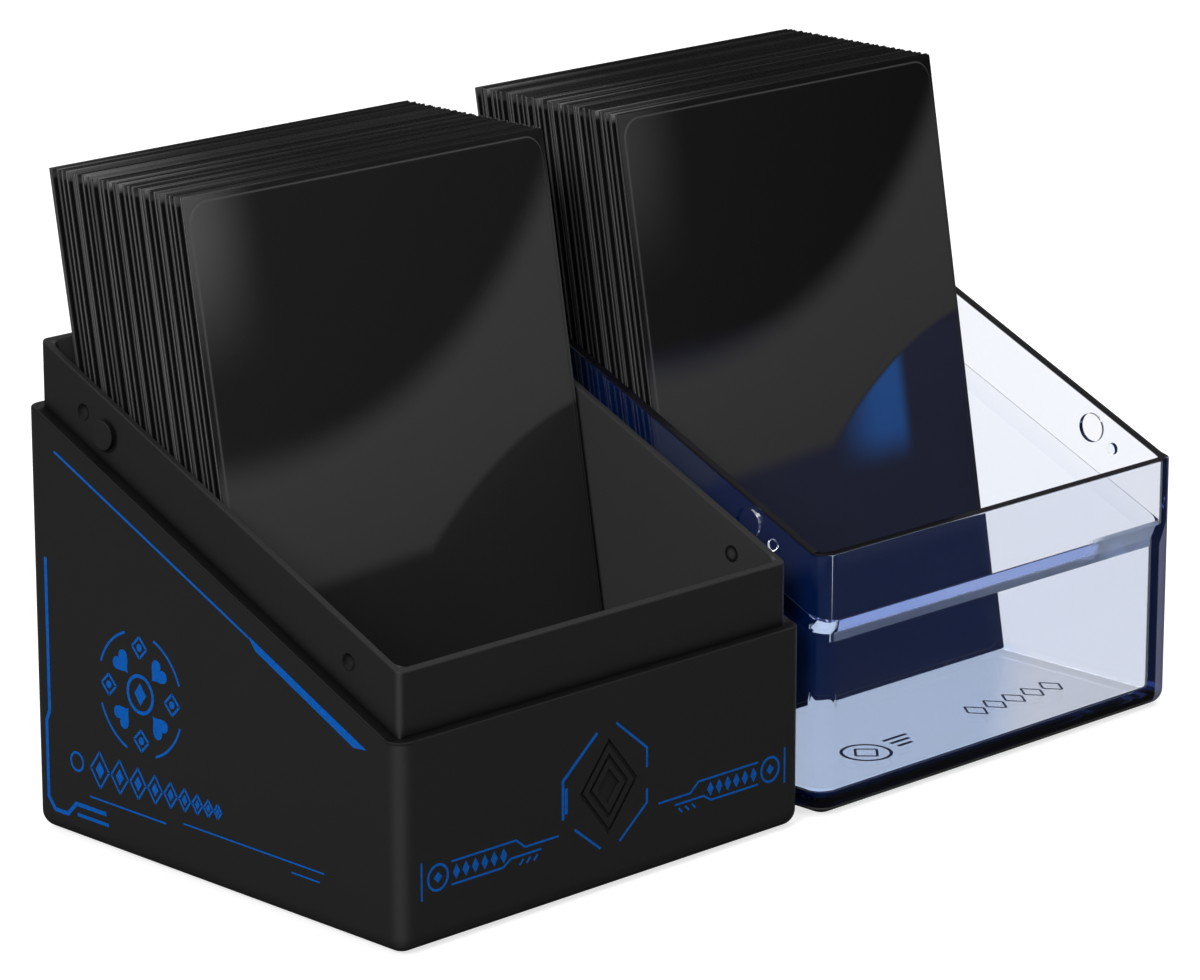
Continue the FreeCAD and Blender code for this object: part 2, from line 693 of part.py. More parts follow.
os.makedirs("parts", exist_ok=True)
for node in nodes:
    node.Shape.exportStep("parts/%s.step" % node.Label)
    box = node.Shape.BoundBox
    print("%-24s %d solid(s) %10.2f mm3  x %.2f..%.2f  y %.2f..%.2f  z %.2f..%.2f" % (
        node.Label, len(node.Shape.Solids), node.Shape.Volume,
        box.XMin, box.XMax, box.YMin, box.YMax, box.ZMin, box.ZMax))
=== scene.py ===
"""Two-part card box, opened: black base, clear blue lid, a leaning stack of
sleeved cards in each. Lengths are in millimetres until they reach a mesh."""
import math
import random

import bpy
from mathutils import Euler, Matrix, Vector


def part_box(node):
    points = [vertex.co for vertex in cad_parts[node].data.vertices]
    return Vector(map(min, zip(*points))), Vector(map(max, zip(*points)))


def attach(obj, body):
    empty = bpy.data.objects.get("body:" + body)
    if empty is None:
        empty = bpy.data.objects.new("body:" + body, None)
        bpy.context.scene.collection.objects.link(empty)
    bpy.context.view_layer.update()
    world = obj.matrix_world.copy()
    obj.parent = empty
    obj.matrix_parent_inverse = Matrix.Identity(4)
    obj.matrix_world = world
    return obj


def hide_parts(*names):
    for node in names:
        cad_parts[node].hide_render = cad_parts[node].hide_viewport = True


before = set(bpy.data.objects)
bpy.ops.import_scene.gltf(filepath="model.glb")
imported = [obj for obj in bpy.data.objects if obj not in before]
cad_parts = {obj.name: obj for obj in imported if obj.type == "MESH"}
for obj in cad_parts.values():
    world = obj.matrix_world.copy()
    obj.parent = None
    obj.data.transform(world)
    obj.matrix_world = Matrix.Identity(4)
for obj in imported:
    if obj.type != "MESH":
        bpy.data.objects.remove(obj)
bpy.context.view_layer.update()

MM = 0.001

# ---- object's own sizes
base_low, base_high = [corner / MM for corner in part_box("base_shell")]
lid_low, lid_high = [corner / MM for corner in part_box("lid_shell")]
TRAY_W = base_high.x - base_low.x  # left to right
TRAY_D = base_high.y - base_low.y  # front to back
LID_X = (lid_low.x + lid_high.x) / 2  # middle of the lid
LID_Y = (lid_low.y + lid_high.y) / 2
FLOOR_TOP = 2.5  # inside floor of both trays
LEAN = math.radians(10.0)
SLANT = 31.3 / 70.2  # rise of both parting lines towards the back
RIM_FLAT = 2.4  # level stretch before the slant starts
SHOULDER_FRONT, SHOULDER_BACK = 29.1, 60.4  # shoulder of the base, low and high
SHOULDER_MIDDLE = (SHOULDER_FRONT + SHOULDER_BACK) / 2
NECK_INSET = 1.75  # faces of the neck behind those of the base
NECK_SIDE = TRAY_W / 2 - NECK_INSET
CORNER_R, NECK_CORNER_R = 2.6, 1.1
BASE_HOLLOW = (35.1, 34.6, 2.45)  # half width, half depth and floor of the hollow
FOOT_OF_NECK = 2.1  # how far up the neck its foot is in shade
# y, height above the shoulder line and radius of the stud and the two dimples
STUD = (22.3, 4.0, 2.15)
DIMPLES = ((26.7, 4.4, 1.15), (-26.2, 4.4, 1.15))
LID_FRONT_Z, LID_BACK_Z = 38.1, lid_high.z  # rim of the lid, low and high
LID_FRONT_Y = LID_Y - TRAY_D / 2
LID_RIGHT_X = LID_X + TRAY_W / 2
LID_LEFT_X = LID_X - TRAY_W / 2
LID_WALL = 3.0  # wall with the foot of its inner round
LID_FOOT_Z, LID_HIGHLIGHT_LINE_Z = 2.4, 0.95  # top of its foot painted near black as painted shade, and the height of the painted highlight line along it
LEDGE_Z, LEDGE_RUN, LEDGE_IN = 25.3, 3.4, 1.6  # where the right wall gets thinner
# Bevel under the lid's front ledge: its tilt, how far down its look runs, up to where the wall
# below it takes the bevel's light, the top of the strip painted with the bevel's light as painted
# light, and its top
BEVEL_TILT = math.atan(1.10 / 2.11)  # run over rise
BEVEL_FOOT, BEVEL_TURN, BEVEL_STRIP_TOP, BEVEL_TOP = 24.75, 25.92, 26.2, 28.7
BEVEL_Y = (LID_FRONT_Y + 0.8, LID_FRONT_Y + 3.05)
SLEEVE_W, SLEEVE_H, SLEEVE_T = 66.0, 91.0, 0.62
FILM = 0.13
WELD = 0.6  # closed strip at the sides and the foot
INNER_FACE = FILM * 0.98  # inner face of a film behind its outer face
CARD_W, CARD_H, CARD_T = 63.0, 88.0, 0.30
CARD_FOOT = 0.7  # foot of a card above the foot of its sleeve
CARD_TOP = CARD_FOOT + CARD_H
CARD_MIDDLE = CARD_FOOT + CARD_H / 2
OUTLINE_HALF, OUTLINE_TOP, OUTLINE_R = 32.3, 90.2, 3.0  # card's bulge in the front film
UV_SPAN = 100.0  # millimetres that the map card_mm runs over
PRINT_LIFT = 0.03  # ink above the plastic
PRINT_SUNK = 0.02

# ---- colours and shares


def grey(level):
    return (level, level, level)


WHITE = grey(1.0)
OUTSIDE_BLACK, OUTSIDE_BLACK_2 = (0.0122, 0.0122, 0.0125), (0.0138, 0.0138, 0.0141)
HOLLOW_PAINTED_LIGHT = (0.040, 0.040, 0.0405)
# painted highlights on the upright corners of the base and of the neck
TRAY_CORNER_PAINTED_HIGHLIGHT, NECK_CORNER_PAINTED_HIGHLIGHT = (0.0260, 0.0260, 0.0264), (0.0330, 0.0330, 0.0335)
SHADE_BLACK = (0.0025, 0.0025, 0.0026)
SHOULDER_SHADE = (0.95, 0.70)  # its share by the neck and at the outside
SPOT_SHADE = 0.9  # its share beside a stud and in a dimple
CORNER_SHARPNESS = 3.0
LID_CLEAR = (0.99, 0.995, 1.0)
LID_DEPTH_BLUE, LID_DENSITY = (0.15, 0.34, 0.77, 1.0), 40.0  # light lost on the way
LID_HAZE, LID_HAZE_BLUE = 0.045, (0.0, 0.12, 0.80)  # share that scatters blue
LID_FLOOR_TINT = (0.74, 0.85, 1.0)
LID_FLOOR_PAINTED_PALE, PALE_SLOPE = (117.0, 131.0), -1.2  # x + slope y where that tint fades: the floor is painted paler towards the right front, as painted light
# painted shade on the lid's rim and foot, and a painted highlight line along the foot
LID_RIM_PAINTED_DARK, LID_FOOT_PAINTED_HIGHLIGHT = (0.0025, 0.0025, 0.0035), (0.070, 0.070, 0.066)
LID_RIM_SHARE = 0.985  # share of the rim and the foot painted near black, as painted shade
# painted light where light piped along the right wall comes out
LID_END_PAINTED_LIGHT, LID_END_SHARE = (0.180, 0.190, 0.290), 0.8
# painted light of the bevel: a pale blue matt sheet
BEVEL_PAINTED_LIGHT = (0.74, 0.84, 1.0)
BEVEL_LIGHT_END_SHARE, BEVEL_LIGHT_STRIP_SHARE = 0.85, 0.7  # share of painted light at the bevel's right end and on the strip lower down
BEVEL_LIGHT_FRONT_SHARE = 0.3  # share of it that is lit from in front
FILM_DEEP = (0.0060, 0.0060, 0.0065)
# painted highlight on the films' cut edges, from its dimmest to its brightest
EDGE_HIGHLIGHT_DIMMEST, EDGE_HIGHLIGHT_BRIGHTEST = (0.018, 0.018, 0.0185), (0.19, 0.19, 0.192)
LID_PAINTED_LIGHT = (0.025, 0.090, 0.30)  # painted light: blue light that the lid throws on a sleeve, painted into its film
CARD_DARK, CARD_LIGHT = (0.010, 0.010, 0.011), (0.018, 0.018, 0.019)

# ---- node helpers


def new_material(name, colour, roughness, **sockets):
    """A Principled material with its tree; sockets sets further named inputs."""
    mat = bpy.data.materials.new(name)
    mat.use_nodes = True
    bsdf = mat.node_tree.nodes["Principled BSDF"]
    bsdf.inputs["Base Color"].default_value = (*colour, 1.0)
    bsdf.inputs["Roughness"].default_value = roughness
    for key, value in sockets.items():
        bsdf.inputs[key.replace("_", " ")].default_value = value
    return mat, mat.node_tree, bsdf


def object_noise(tree, scale, detail=2.0):
    """Noise fixed to the object; scale is in features per metre."""
    coords = tree.nodes.new("ShaderNodeTexCoord")
    noise = tree.nodes.new("ShaderNodeTexNoise")
    noise.inputs["Scale"].default_value = scale
    noise.inputs["Detail"].default_value = detail
    tree.links.new(coords.outputs["Object"], noise.inputs["Vector"])
    return noise.outputs["Fac"]


def map_range(tree, value, low, high, to_low=0.0, to_high=1.0, smooth=False):
    node = tree.nodes.new("ShaderNodeMapRange")
    node.interpolation_type = "SMOOTHSTEP" if smooth else "LINEAR"
    for key, number in (("From Min", low), ("From Max", high),
                        ("To Min", to_low), ("To Max", to_high)):
        node.inputs[key].default_value = number
    tree.links.new(value, node.inputs["Value"])
    return node.outputs["Result"]


def maths(tree, operation, *values):
    """A Math node; each value is a number or a socket."""
    node = tree.nodes.new("ShaderNodeMath")
    node.operation = operation
    for slot, value in enumerate(values):
        if isinstance(value, (int, float)):
            node.inputs[slot].default_value = value
        else:
            tree.links.new(value, node.inputs[slot])
    return node.outputs["Value"]


def minus(tree, a, b):
    return maths(tree, "SUBTRACT", a, b)


def scaled(tree, value, by, plus):
    return maths(tree, "MULTIPLY_ADD", value, by, plus)


def chain(tree, operation, total, *others):
    """One operation over all the values, two at a time."""
    for other in others:
        total = maths(tree, operation, total, other)
    return total


def product(tree, *values):
    return chain(tree, "MULTIPLY", *values)


def largest(tree, *values):
    return chain(tree, "MAXIMUM", *values)


def limited(tree, value, low, high):
    return maths(tree, "MINIMUM", maths(tree, "MAXIMUM", value, low), high)


def off_from(tree, value, middle):
    """How far a value is from the middle, either way."""
    return maths(tree, "ABSOLUTE", minus(tree, value, middle))


def hypotenuse(tree, a, b):
    squares = maths(tree, "ADD", product(tree, a, a), product(tree, b, b))
    return maths(tree, "SQRT", squares)


def within(tree, value, low, high, blur=0.1):
    """1 between two limits, 0 outside them."""
    return product(tree, map_range(tree, value, low, low + blur),
                   map_range(tree, value, high - blur, high, 1.0, 0.0))


def mix_colours(tree, factor, first, second):
    """Colour mix; first and second are colours or sockets."""
    node = tree.nodes.new("ShaderNodeMix")
    node.data_type = "RGBA"
    tree.links.new(factor, node.inputs["Factor"])
    for key, value in ((6, first), (7, second)):
        if isinstance(value, tuple):
            node.inputs[key].default_value = (*value, 1.0)
        else:
            tree.links.new(value, node.inputs[key])
    return node.outputs[2]


def plain_shader(tree, kind, colour):
    """A shader of one colour, such as BsdfDiffuse or BsdfTranslucent."""
    shader = tree.nodes.new("ShaderNode" + kind)
    shader.inputs["Color"].default_value = (*colour, 1.0)
    return shader.outputs["BSDF"]


def mix_shaders(tree, share, first, second):
    """Share of the second shader over the first; share is a number or a socket."""
    node = tree.nodes.new("ShaderNodeMixShader")
    if isinstance(share, float):
        node.inputs["Fac"].default_value = share
    else:
        tree.links.new(share, node.inputs["Fac"])
    tree.links.new(first, node.inputs[1])
    tree.links.new(second, node.inputs[2])
    return node.outputs["Shader"]


def add_bump(tree, bsdf, height, distance, strength):
    bump = tree.nodes.new("ShaderNodeBump")
    bump.inputs["Distance"].default_value = distance
    bump.inputs["Strength"].default_value = strength
    tree.links.new(height, bump.inputs["Height"])
    tree.links.new(bump.outputs["Normal"], bsdf.inputs["Normal"])


def place_of(tree):
    """x, y and z of the shaded point in millimetres, fixed to the object."""
    coords = tree.nodes.new("ShaderNodeTexCoord")
    split = tree.nodes.new("ShaderNodeSeparateXYZ")
    tree.links.new(coords.outputs["Object"], split.inputs["Vector"])
    return [product(tree, split.outputs[axis], 1 / MM) for axis in "XYZ"]


def map_place(tree, uv_name):
    """The two numbers of a UV map that the mesh carries."""
    uv = tree.nodes.new("ShaderNodeUVMap")
    uv.uv_map = uv_name
    split = tree.nodes.new("ShaderNodeSeparateXYZ")
    tree.links.new(uv.outputs["UV"], split.inputs["Vector"])
    return split.outputs["X"], split.outputs["Y"]


def inside_of(tree, place, middle, half_w, half_d, floor):
    """1 well inside a tray's hollow, 0 outside it."""
    x, y, z = place
    out = largest(tree, minus(tree, off_from(tree, x, middle[0]), half_w),
                  minus(tree, off_from(tree, y, middle[1]), half_d), minus(tree, floor, z))
    return map_range(tree, out, -0.05, 0.15, 1.0, 0.0, smooth=True)


# ---- black base's plastic


def shoulder_shade(tree, over, out):
    """Shade on the shoulder and on the foot of the neck. over is the height above
    the shoulder line, and out is how far a point is past the base's outside."""
    level = map_range(tree, maths(tree, "ABSOLUTE", over), 0.25, 0.5, 1.0, 0.0)
    deeper = map_range(tree, out, -NECK_INSET + 0.2, -0.03, *SHOULDER_SHADE)
    on_top = product(tree, level, deeper, map_range(tree, out, -0.02, -0.005, 1.0, 0.0))
    above = map_range(tree, over, 0.0, FOOT_OF_NECK, 1.0, 0.0)
    on_neck = product(tree, above, above, maths(tree, "GREATER_THAN", over, 0.0))
    outside = map_range(tree, out, -NECK_INSET - 0.3, -NECK_INSET - 0.1)
    return product(tree, largest(tree, on_top, on_neck), outside)


def spots_shade(tree, side, y, z):
    """Shade thrown by the studs, and in the dimples' bowls."""
    def reach_of(spot_y, rise):
        spot_z = SHOULDER_MIDDLE + SLANT * spot_y + rise
        return hypotenuse(tree, minus(tree, y, spot_y), minus(tree, z, spot_z))

    spot_y, rise, radius = STUD
    to_front = 0.35  # the stud's shade lies this far to its front
    shades = [map_range(tree, reach_of(spot_y - to_front, rise), radius, radius + 0.35,
                        SPOT_SHADE, 0.0, smooth=True)]
    for spot_y, rise, radius in DIMPLES:
        reach = reach_of(spot_y, rise)
        bowl = map_range(tree, reach, radius - 0.8, radius - 0.1, 0.0, SPOT_SHADE,
                         smooth=True)
        shades.append(product(tree, bowl,
                              map_range(tree, reach, radius, radius + 0.15, 1.0, 0.0)))
    on_wall = map_range(tree, side, NECK_SIDE + 0.5, NECK_SIDE + 0.6, 1.0, 0.0)
    return product(tree, largest(tree, *shades), on_wall)


def corner_share(tree, side, front, radius, inset):
    """1 where an upright corner turns halfway, 0 on the faces beside it; it places a painted
    highlight.
    """
    ways = [map_range(tree, way, half - inset - radius, half - inset)
            for way, half in ((side, TRAY_W / 2), (front, TRAY_D / 2))]
    return maths(tree, "POWER", product(tree, *ways, 2.0), CORNER_SHARPNESS)


def black_tray_material():
    """Satin outside; the hollow is painted lighter, as painted light standing in for the light
    that falls into it.
    """
    mat, tree, bsdf = new_material("satin_black_plastic", (0.0105, 0.0105, 0.0110), 0.42)
    grain = object_noise(tree, 9000.0, 3.0)
    cloud = object_noise(tree, 60.0, 2.0)
    add_bump(tree, bsdf, grain, 0.00001, 0.35)
    tree.links.new(map_range(tree, cloud, 0.3, 0.7, 0.38, 0.46), bsdf.inputs["Roughness"])
    tone = mix_colours(tree, cloud, OUTSIDE_BLACK, OUTSIDE_BLACK_2)
    x, y, z = place_of(tree)
    # painted light: the hollow is painted lighter than the outside
    tone = mix_colours(tree, inside_of(tree, (x, y, z), (0.0, 0.0), *BASE_HOLLOW), tone,
                       HOLLOW_PAINTED_LIGHT)
    side, front = maths(tree, "ABSOLUTE", x), maths(tree, "ABSOLUTE", y)
    shoulder = limited(tree, scaled(tree, y, SLANT, SHOULDER_MIDDLE), SHOULDER_FRONT,
                       SHOULDER_BACK)
    over = minus(tree, z, shoulder)
    out = largest(tree, minus(tree, side, TRAY_W / 2), minus(tree, front, TRAY_D / 2))
    # painted highlights: upright corners are painted lighter than the faces, below and above the
    # shoulder
    turn = corner_share(tree, side, front, CORNER_R, 0.0)
    below = map_range(tree, over, 0.0, 0.1, 1.0, 0.0)
    tone = mix_colours(tree, product(tree, turn, below), tone, TRAY_CORNER_PAINTED_HIGHLIGHT)
    turn = corner_share(tree, side, front, NECK_CORNER_R, NECK_INSET)
    above = map_range(tree, over, 0.0, 0.1)
    tone = mix_colours(tree, product(tree, turn, above), tone, NECK_CORNER_PAINTED_HIGHLIGHT)
    shade = largest(tree, shoulder_shade(tree, over, out), spots_shade(tree, side, y, z))
    tree.links.new(mix_colours(tree, shade, tone, SHADE_BLACK), bsdf.inputs["Base Color"])
    return mat


# ---- clear lid's plastic


def painted_dark_share(tree, x, y, z):
    """1 along the rim and the outer foot, painted near black as painted shade where light runs the
    long way.
    """
    rim = scaled(tree, y, SLANT, LID_FRONT_Z - SLANT * (LID_FRONT_Y + RIM_FLAT))
    rim = limited(tree, rim, LID_FRONT_Z, LID_BACK_Z)
    top = map_range(tree, minus(tree, z, rim), -0.3, -0.08, smooth=True)
    over_hollow = inside_of(tree, (x, y, 1.0), (LID_X, LID_Y), TRAY_W / 2 - LID_WALL,
                            TRAY_D / 2 - LID_WALL, 0.0)
    low = map_range(tree, z, LID_FOOT_Z - 0.4, LID_FOOT_Z, 1.0, 0.0, smooth=True)
    return largest(tree, top, product(tree, low, minus(tree, 1.0, over_hollow)))


def painted_dark_shader(tree, z):
    """Painted near black as shade, with a painted highlight: a thin light line along the foot."""
    dark = tree.nodes.new("ShaderNodeBsdfPrincipled")
    from_line = off_from(tree, z, LID_HIGHLIGHT_LINE_Z)
    line = map_range(tree, from_line, 0.12, 0.28, 1.0, 0.0, smooth=True)
    tree.links.new(mix_colours(tree, line, LID_RIM_PAINTED_DARK, LID_FOOT_PAINTED_HIGHLIGHT),
                   dark.inputs["Base Color"])
    dark.inputs["Roughness"].default_value = 0.12
    dark.inputs["Specular IOR Level"].default_value = 0.15
    return dark.outputs["BSDF"]


def painted_end_light_share(tree, x, y, z):
    """Painted light, as a grey patch, where light that runs along the right wall comes out, at its
    front end. The wall is thinner above the ledge."""
    up = scaled(tree, z, 1 / LEDGE_RUN, -LEDGE_Z / LEDGE_RUN)
    thinner = product(tree, limited(tree, up, 0.0, 1.0), LEDGE_IN)
    past_inner = map_range(tree, minus(tree, x, thinner), LID_RIGHT_X - 3.5,
                           LID_RIGHT_X - 3.3, 0.0, LID_END_SHARE)
    at_front = map_range(tree, y, LID_FRONT_Y + 0.5, LID_FRONT_Y + 0.8, 1.0, 0.0)
    return product(tree, past_inner, at_front)


def bevel_normal(tree, x, y, z, back):
    """Normal of the surface; under the front ledge's bevel the wall turns light the
    way the bevel does."""
    under = product(tree, within(tree, z, BEVEL_FOOT, BEVEL_TURN, 0.02),
                    within(tree, y, *BEVEL_Y),
                    within(tree, x, LID_LEFT_X + 2.7, LID_RIGHT_X - 2.7))
    turned = tree.nodes.new("ShaderNodeVectorTransform")
    turned.vector_type = "NORMAL"
    turned.convert_from = "OBJECT"
    turned.convert_to = "WORLD"
    turned.inputs["Vector"].default_value = (0.0, math.cos(BEVEL_TILT), math.sin(BEVEL_TILT))
    facing = tree.nodes.new("ShaderNodeVectorMath")
    facing.operation = "SCALE"
    tree.links.new(turned.outputs["Vector"], facing.inputs[0])
    tree.links.new(map_range(tree, back, 0.0, 1.0, 1.0, -1.0), facing.inputs["Scale"])
    blend = tree.nodes.new("ShaderNodeMix")
    blend.data_type = "VECTOR"
    tree.links.new(under, blend.inputs["Factor"])
    tree.links.new(tree.nodes.new("ShaderNodeNewGeometry").outputs["Normal"], blend.inputs[4])
    tree.links.new(facing.outputs["Vector"], blend.inputs[5])
    return blend.outputs[1]


def bevel_painted_light_share(tree, x, y, z):
    """Painted light standing in for the bevel's light, on that bevel's right end and all along the
    strip below it.
    """
    end = product(tree, within(tree, z, BEVEL_FOOT, BEVEL_TOP),
                  map_range(tree, x, LID_X + 19.0, LID_X + 23.0, 0.0, BEVEL_LIGHT_END_SHARE),
                  map_range(tree, x, LID_RIGHT_X - 2.8, LID_RIGHT_X - 2.7, 1.0, 0.0))
    strip = product(tree, within(tree, z, BEVEL_FOOT, BEVEL_STRIP_TOP), BEVEL_LIGHT_STRIP_SHARE,
                    within(tree, x, LID_LEFT_X + 4.0, LID_RIGHT_X - 2.7))
    return product(tree, largest(tree, end, strip), within(tree, y, *BEVEL_Y))


def blue_lid_material():
    """Clear blue plastic: tinted by the way that light goes through it."""
    mat, tree, bsdf = new_material("clear_blue_plastic", LID_CLEAR, 0.015,
                                   Transmission_Weight=1.0, IOR=1.49, Specular_IOR_Level=0.25)
    output = tree.nodes["Material Output"]
    absorb = tree.nodes.new("ShaderNodeVolumeAbsorption")
    absorb.inputs["Color"].default_value = LID_DEPTH_BLUE
    absorb.inputs["Density"].default_value = LID_DENSITY
    tree.links.new(absorb.outputs["Volume"], output.inputs["Volume"])
    back = tree.nodes.new("ShaderNodeNewGeometry").outputs["Backfacing"]
    x, y, z = place_of(tree)

    def on_outside(share):
        """share where light enters the plastic, 0 where it leaves it"""
        return map_range(tree, back, 0.0, 1.0, share, 0.0)

    # the floor is bluer than the walls, and has no haze
    over_floor = map_range(tree, z, FLOOR_TOP + 0.1, FLOOR_TOP + 0.9, smooth=True)
    # painted light: the floor's tint fades towards its right front
    to_corner = scaled(tree, y, PALE_SLOPE, x)
    painted_pale_end = map_range(tree, to_corner, *LID_FLOOR_PAINTED_PALE, smooth=True)
    tint = mix_colours(tree, painted_pale_end, LID_FLOOR_TINT, WHITE)
    tree.links.new(mix_colours(tree, over_floor, tint, LID_CLEAR), bsdf.inputs["Base Color"])
    tree.links.new(bevel_normal(tree, x, y, z, back), bsdf.inputs["Normal"])
    shader = mix_shaders(tree, product(tree, on_outside(LID_HAZE), over_floor),
                         bsdf.outputs["BSDF"], plain_shader(tree, "BsdfDiffuse", LID_HAZE_BLUE))
    # rim and foot painted near black: painted shade, with a painted highlight line
    share = product(tree, painted_dark_share(tree, x, y, z), on_outside(LID_RIM_SHARE))
    shader = mix_shaders(tree, share, shader, painted_dark_shader(tree, z))
    # painted light at the right wall's front end
    share = product(tree, painted_end_light_share(tree, x, y, z), on_outside(1.0))
    shader = mix_shaders(tree, share, shader, plain_shader(tree, "BsdfDiffuse", LID_END_PAINTED_LIGHT))
    # painted light of the bevel, as a pale blue matt sheet
    bevel_light = mix_shaders(tree, BEVEL_LIGHT_FRONT_SHARE, plain_shader(tree, "BsdfTranslucent", BEVEL_PAINTED_LIGHT),
                        plain_shader(tree, "BsdfDiffuse", BEVEL_PAINTED_LIGHT))
    shader = mix_shaders(tree, bevel_painted_light_share(tree, x, y, z), shader, bevel_light)
    tree.links.new(shader, output.inputs["Surface"])
    return mat

# ---- films, card, inks

# Fields of painted reflection and painted shade on the front film, in millimetres: the upper one
# ends at a circle, and the lower one under the higher of a line and an arch. The band between them
# is a lighter painted reflection. Greys go from left to right.
UPPER_MIDDLE, UPPER_RADII = (-27.0, 126.5), (69.8, 76.2)
LOWER_LINE = (0.045, 36.9)
LOWER_ARCH = (-0.0111, 0.889, 35.0)
FOOT_FIELD_TOP = (18.5, 21.5)
UPPER_REFLECTION_GREYS = (grey(0.0100), grey(0.0065))
# band between the fields: a lighter painted reflection
BAND_REFLECTION_GREYS = (grey(0.0450), grey(0.0410))
# painted highlights at the film's top corner and along the card's outline crease
FILM_CORNER_PAINTED_HIGHLIGHT, CREASE_PAINTED_HIGHLIGHT = grey(0.072), grey(0.060)


def sleeve_side_material(name, shine):
    """Black film of the sleeves behind the front one, with a painted highlight along its cut
    edges. Its map tone carries the share of that painted highlight by a cut edge, and how light
    the highlight is on that film."""
    mat, tree, bsdf = new_material(name, (0.02, 0.02, 0.02), 0.34, Specular_IOR_Level=shine)
    edge_highlight_share, lightness = map_place(tree, "tone")
    light = mix_colours(tree, lightness, EDGE_HIGHLIGHT_DIMMEST, EDGE_HIGHLIGHT_BRIGHTEST)
    tree.links.new(mix_colours(tree, edge_highlight_share, FILM_DEEP, light), bsdf.inputs["Base Color"])
    rub = object_noise(tree, 300.0)
    tree.links.new(map_range(tree, rub, 0.35, 0.7, 0.28, 0.42), bsdf.inputs["Roughness"])
    return mat


def field_edges(tree, u, v):
    """Shares of what is below the film's upper dark field of painted reflection, inside a wide
    circle, and of what is above its lower one, under a nearly level line that becomes an arch."""
    middle_u, middle_v = UPPER_MIDDLE
    from_middle = hypotenuse(tree, minus(tree, u, middle_u), minus(tree, v, middle_v))
    below_upper = map_range(tree, from_middle, *UPPER_RADII, smooth=True)
    line = scaled(tree, u, *LOWER_LINE)
    bend, slope, height = LOWER_ARCH
    arch = scaled(tree, scaled(tree, u, bend, slope), u, height)
    over_edge = minus(tree, v, largest(tree, line, arch))
    blur = map_range(tree, u, -6.0, 22.0, 1.5, 0.55)
    shares_of_blur = maths(tree, "DIVIDE", over_edge, blur)
    return below_upper, map_range(tree, shares_of_blur, -1.0, 1.0, smooth=True)


def crease_highlight_share(tree, u, v):
    """1 along the outline of the card, where the film is creased and a painted highlight lies
    along the crease.
    """
    half_high = (OUTLINE_TOP - CARD_FOOT) / 2
    across = minus(tree, maths(tree, "ABSOLUTE", u), OUTLINE_HALF - OUTLINE_R)
    up = minus(tree, off_from(tree, v, CARD_FOOT + half_high), half_high - OUTLINE_R)
    outside = hypotenuse(tree, largest(tree, across, 0.0), largest(tree, up, 0.0))
    inside = maths(tree, "MINIMUM", 0.0, largest(tree, across, up))
    from_line = off_from(tree, maths(tree, "ADD", outside, inside), OUTLINE_R)
    return map_range(tree, from_line, 0.04, 0.20, 0.7, 0.0, smooth=True)


def front_sleeve_material(name, corner_light, shine, low_field, foot_field, painted_blue_light):
    """Film over the front card, carrying painted reflections: two dark fields of painted
    reflection and painted shade, and a lighter band of painted reflection between them. u and v
    are millimetres across from the middle and up from the foot. corner_light is the share of the
    painted highlight at the top corner, low_field and foot_field are the colours of the lower
    field and its foot, in painted reflection and painted shade, and painted_blue_light is the
    share of the painted blue light that the lid throws on the film."""
    mat, tree, bsdf = new_material(name, (0.012, 0.012, 0.012), 0.20,
                                   Specular_IOR_Level=shine)
    across_map, up_map = map_place(tree, "card_mm")
    u = map_range(tree, across_map, 0.0, 1.0, -UV_SPAN / 2, UV_SPAN / 2)
    v = map_range(tree, up_map, 0.0, 1.0, 0.0, UV_SPAN)
    below_upper, above_lower = field_edges(tree, u, v)
    to_right = map_range(tree, u, -32.0, 32.0)
    # dark fields of painted reflection, and painted shade towards the foot
    upper = mix_colours(tree, to_right, *UPPER_REFLECTION_GREYS)
    lower = mix_colours(tree, map_range(tree, v, *FOOT_FIELD_TOP), foot_field, low_field)
    field = mix_colours(tree, map_range(tree, v, 50.0, 58.0, 1.0, 0.0), upper, lower)
    # lighter painted reflection in the band between the fields
    band_reflection = mix_colours(tree, to_right, *BAND_REFLECTION_GREYS)
    tone = mix_colours(tree, product(tree, below_upper, above_lower), field, band_reflection)
    # painted highlight at the top left corner
    corner = product(tree, map_range(tree, u, -33.0, -19.5, corner_light, 0.0, smooth=True),
                     map_range(tree, v, 64.0, 87.0, smooth=True))
    tone = mix_colours(tree, corner, tone, FILM_CORNER_PAINTED_HIGHLIGHT)
    # painted light thrown by the clear lid: an upright patch, cut off by the band's edge
    patch = product(tree, map_range(tree, u, 20.0, 17.0, 0.0, painted_blue_light, smooth=True),
                    map_range(tree, u, 2.0, 14.0, smooth=True),
                    map_range(tree, above_lower, 0.0, 0.6, 1.0, 0.0),
                    map_range(tree, v, 31.0, 38.0, smooth=True))
    tone = mix_colours(tree, patch, tone, LID_PAINTED_LIGHT)
    # painted highlight along the outline crease
    tone = mix_colours(tree, crease_highlight_share(tree, u, v), tone, CREASE_PAINTED_HIGHLIGHT)
    tree.links.new(tone, bsdf.inputs["Base Color"])
    fine = object_noise(tree, 500.0)
    tree.links.new(map_range(tree, fine, 0.3, 0.7, 0.17, 0.23), bsdf.inputs["Roughness"])
    return mat


def card_material():
    mat, tree, bsdf = new_material("black_card_stock", (0.014, 0.014, 0.015), 0.55)
    fibre = object_noise(tree, 2500.0, 4.0)
    add_bump(tree, bsdf, fibre, 0.00002, 0.5)
    tree.links.new(mix_colours(tree, fibre, CARD_DARK, CARD_LIGHT), bsdf.inputs["Base Color"])
    return mat


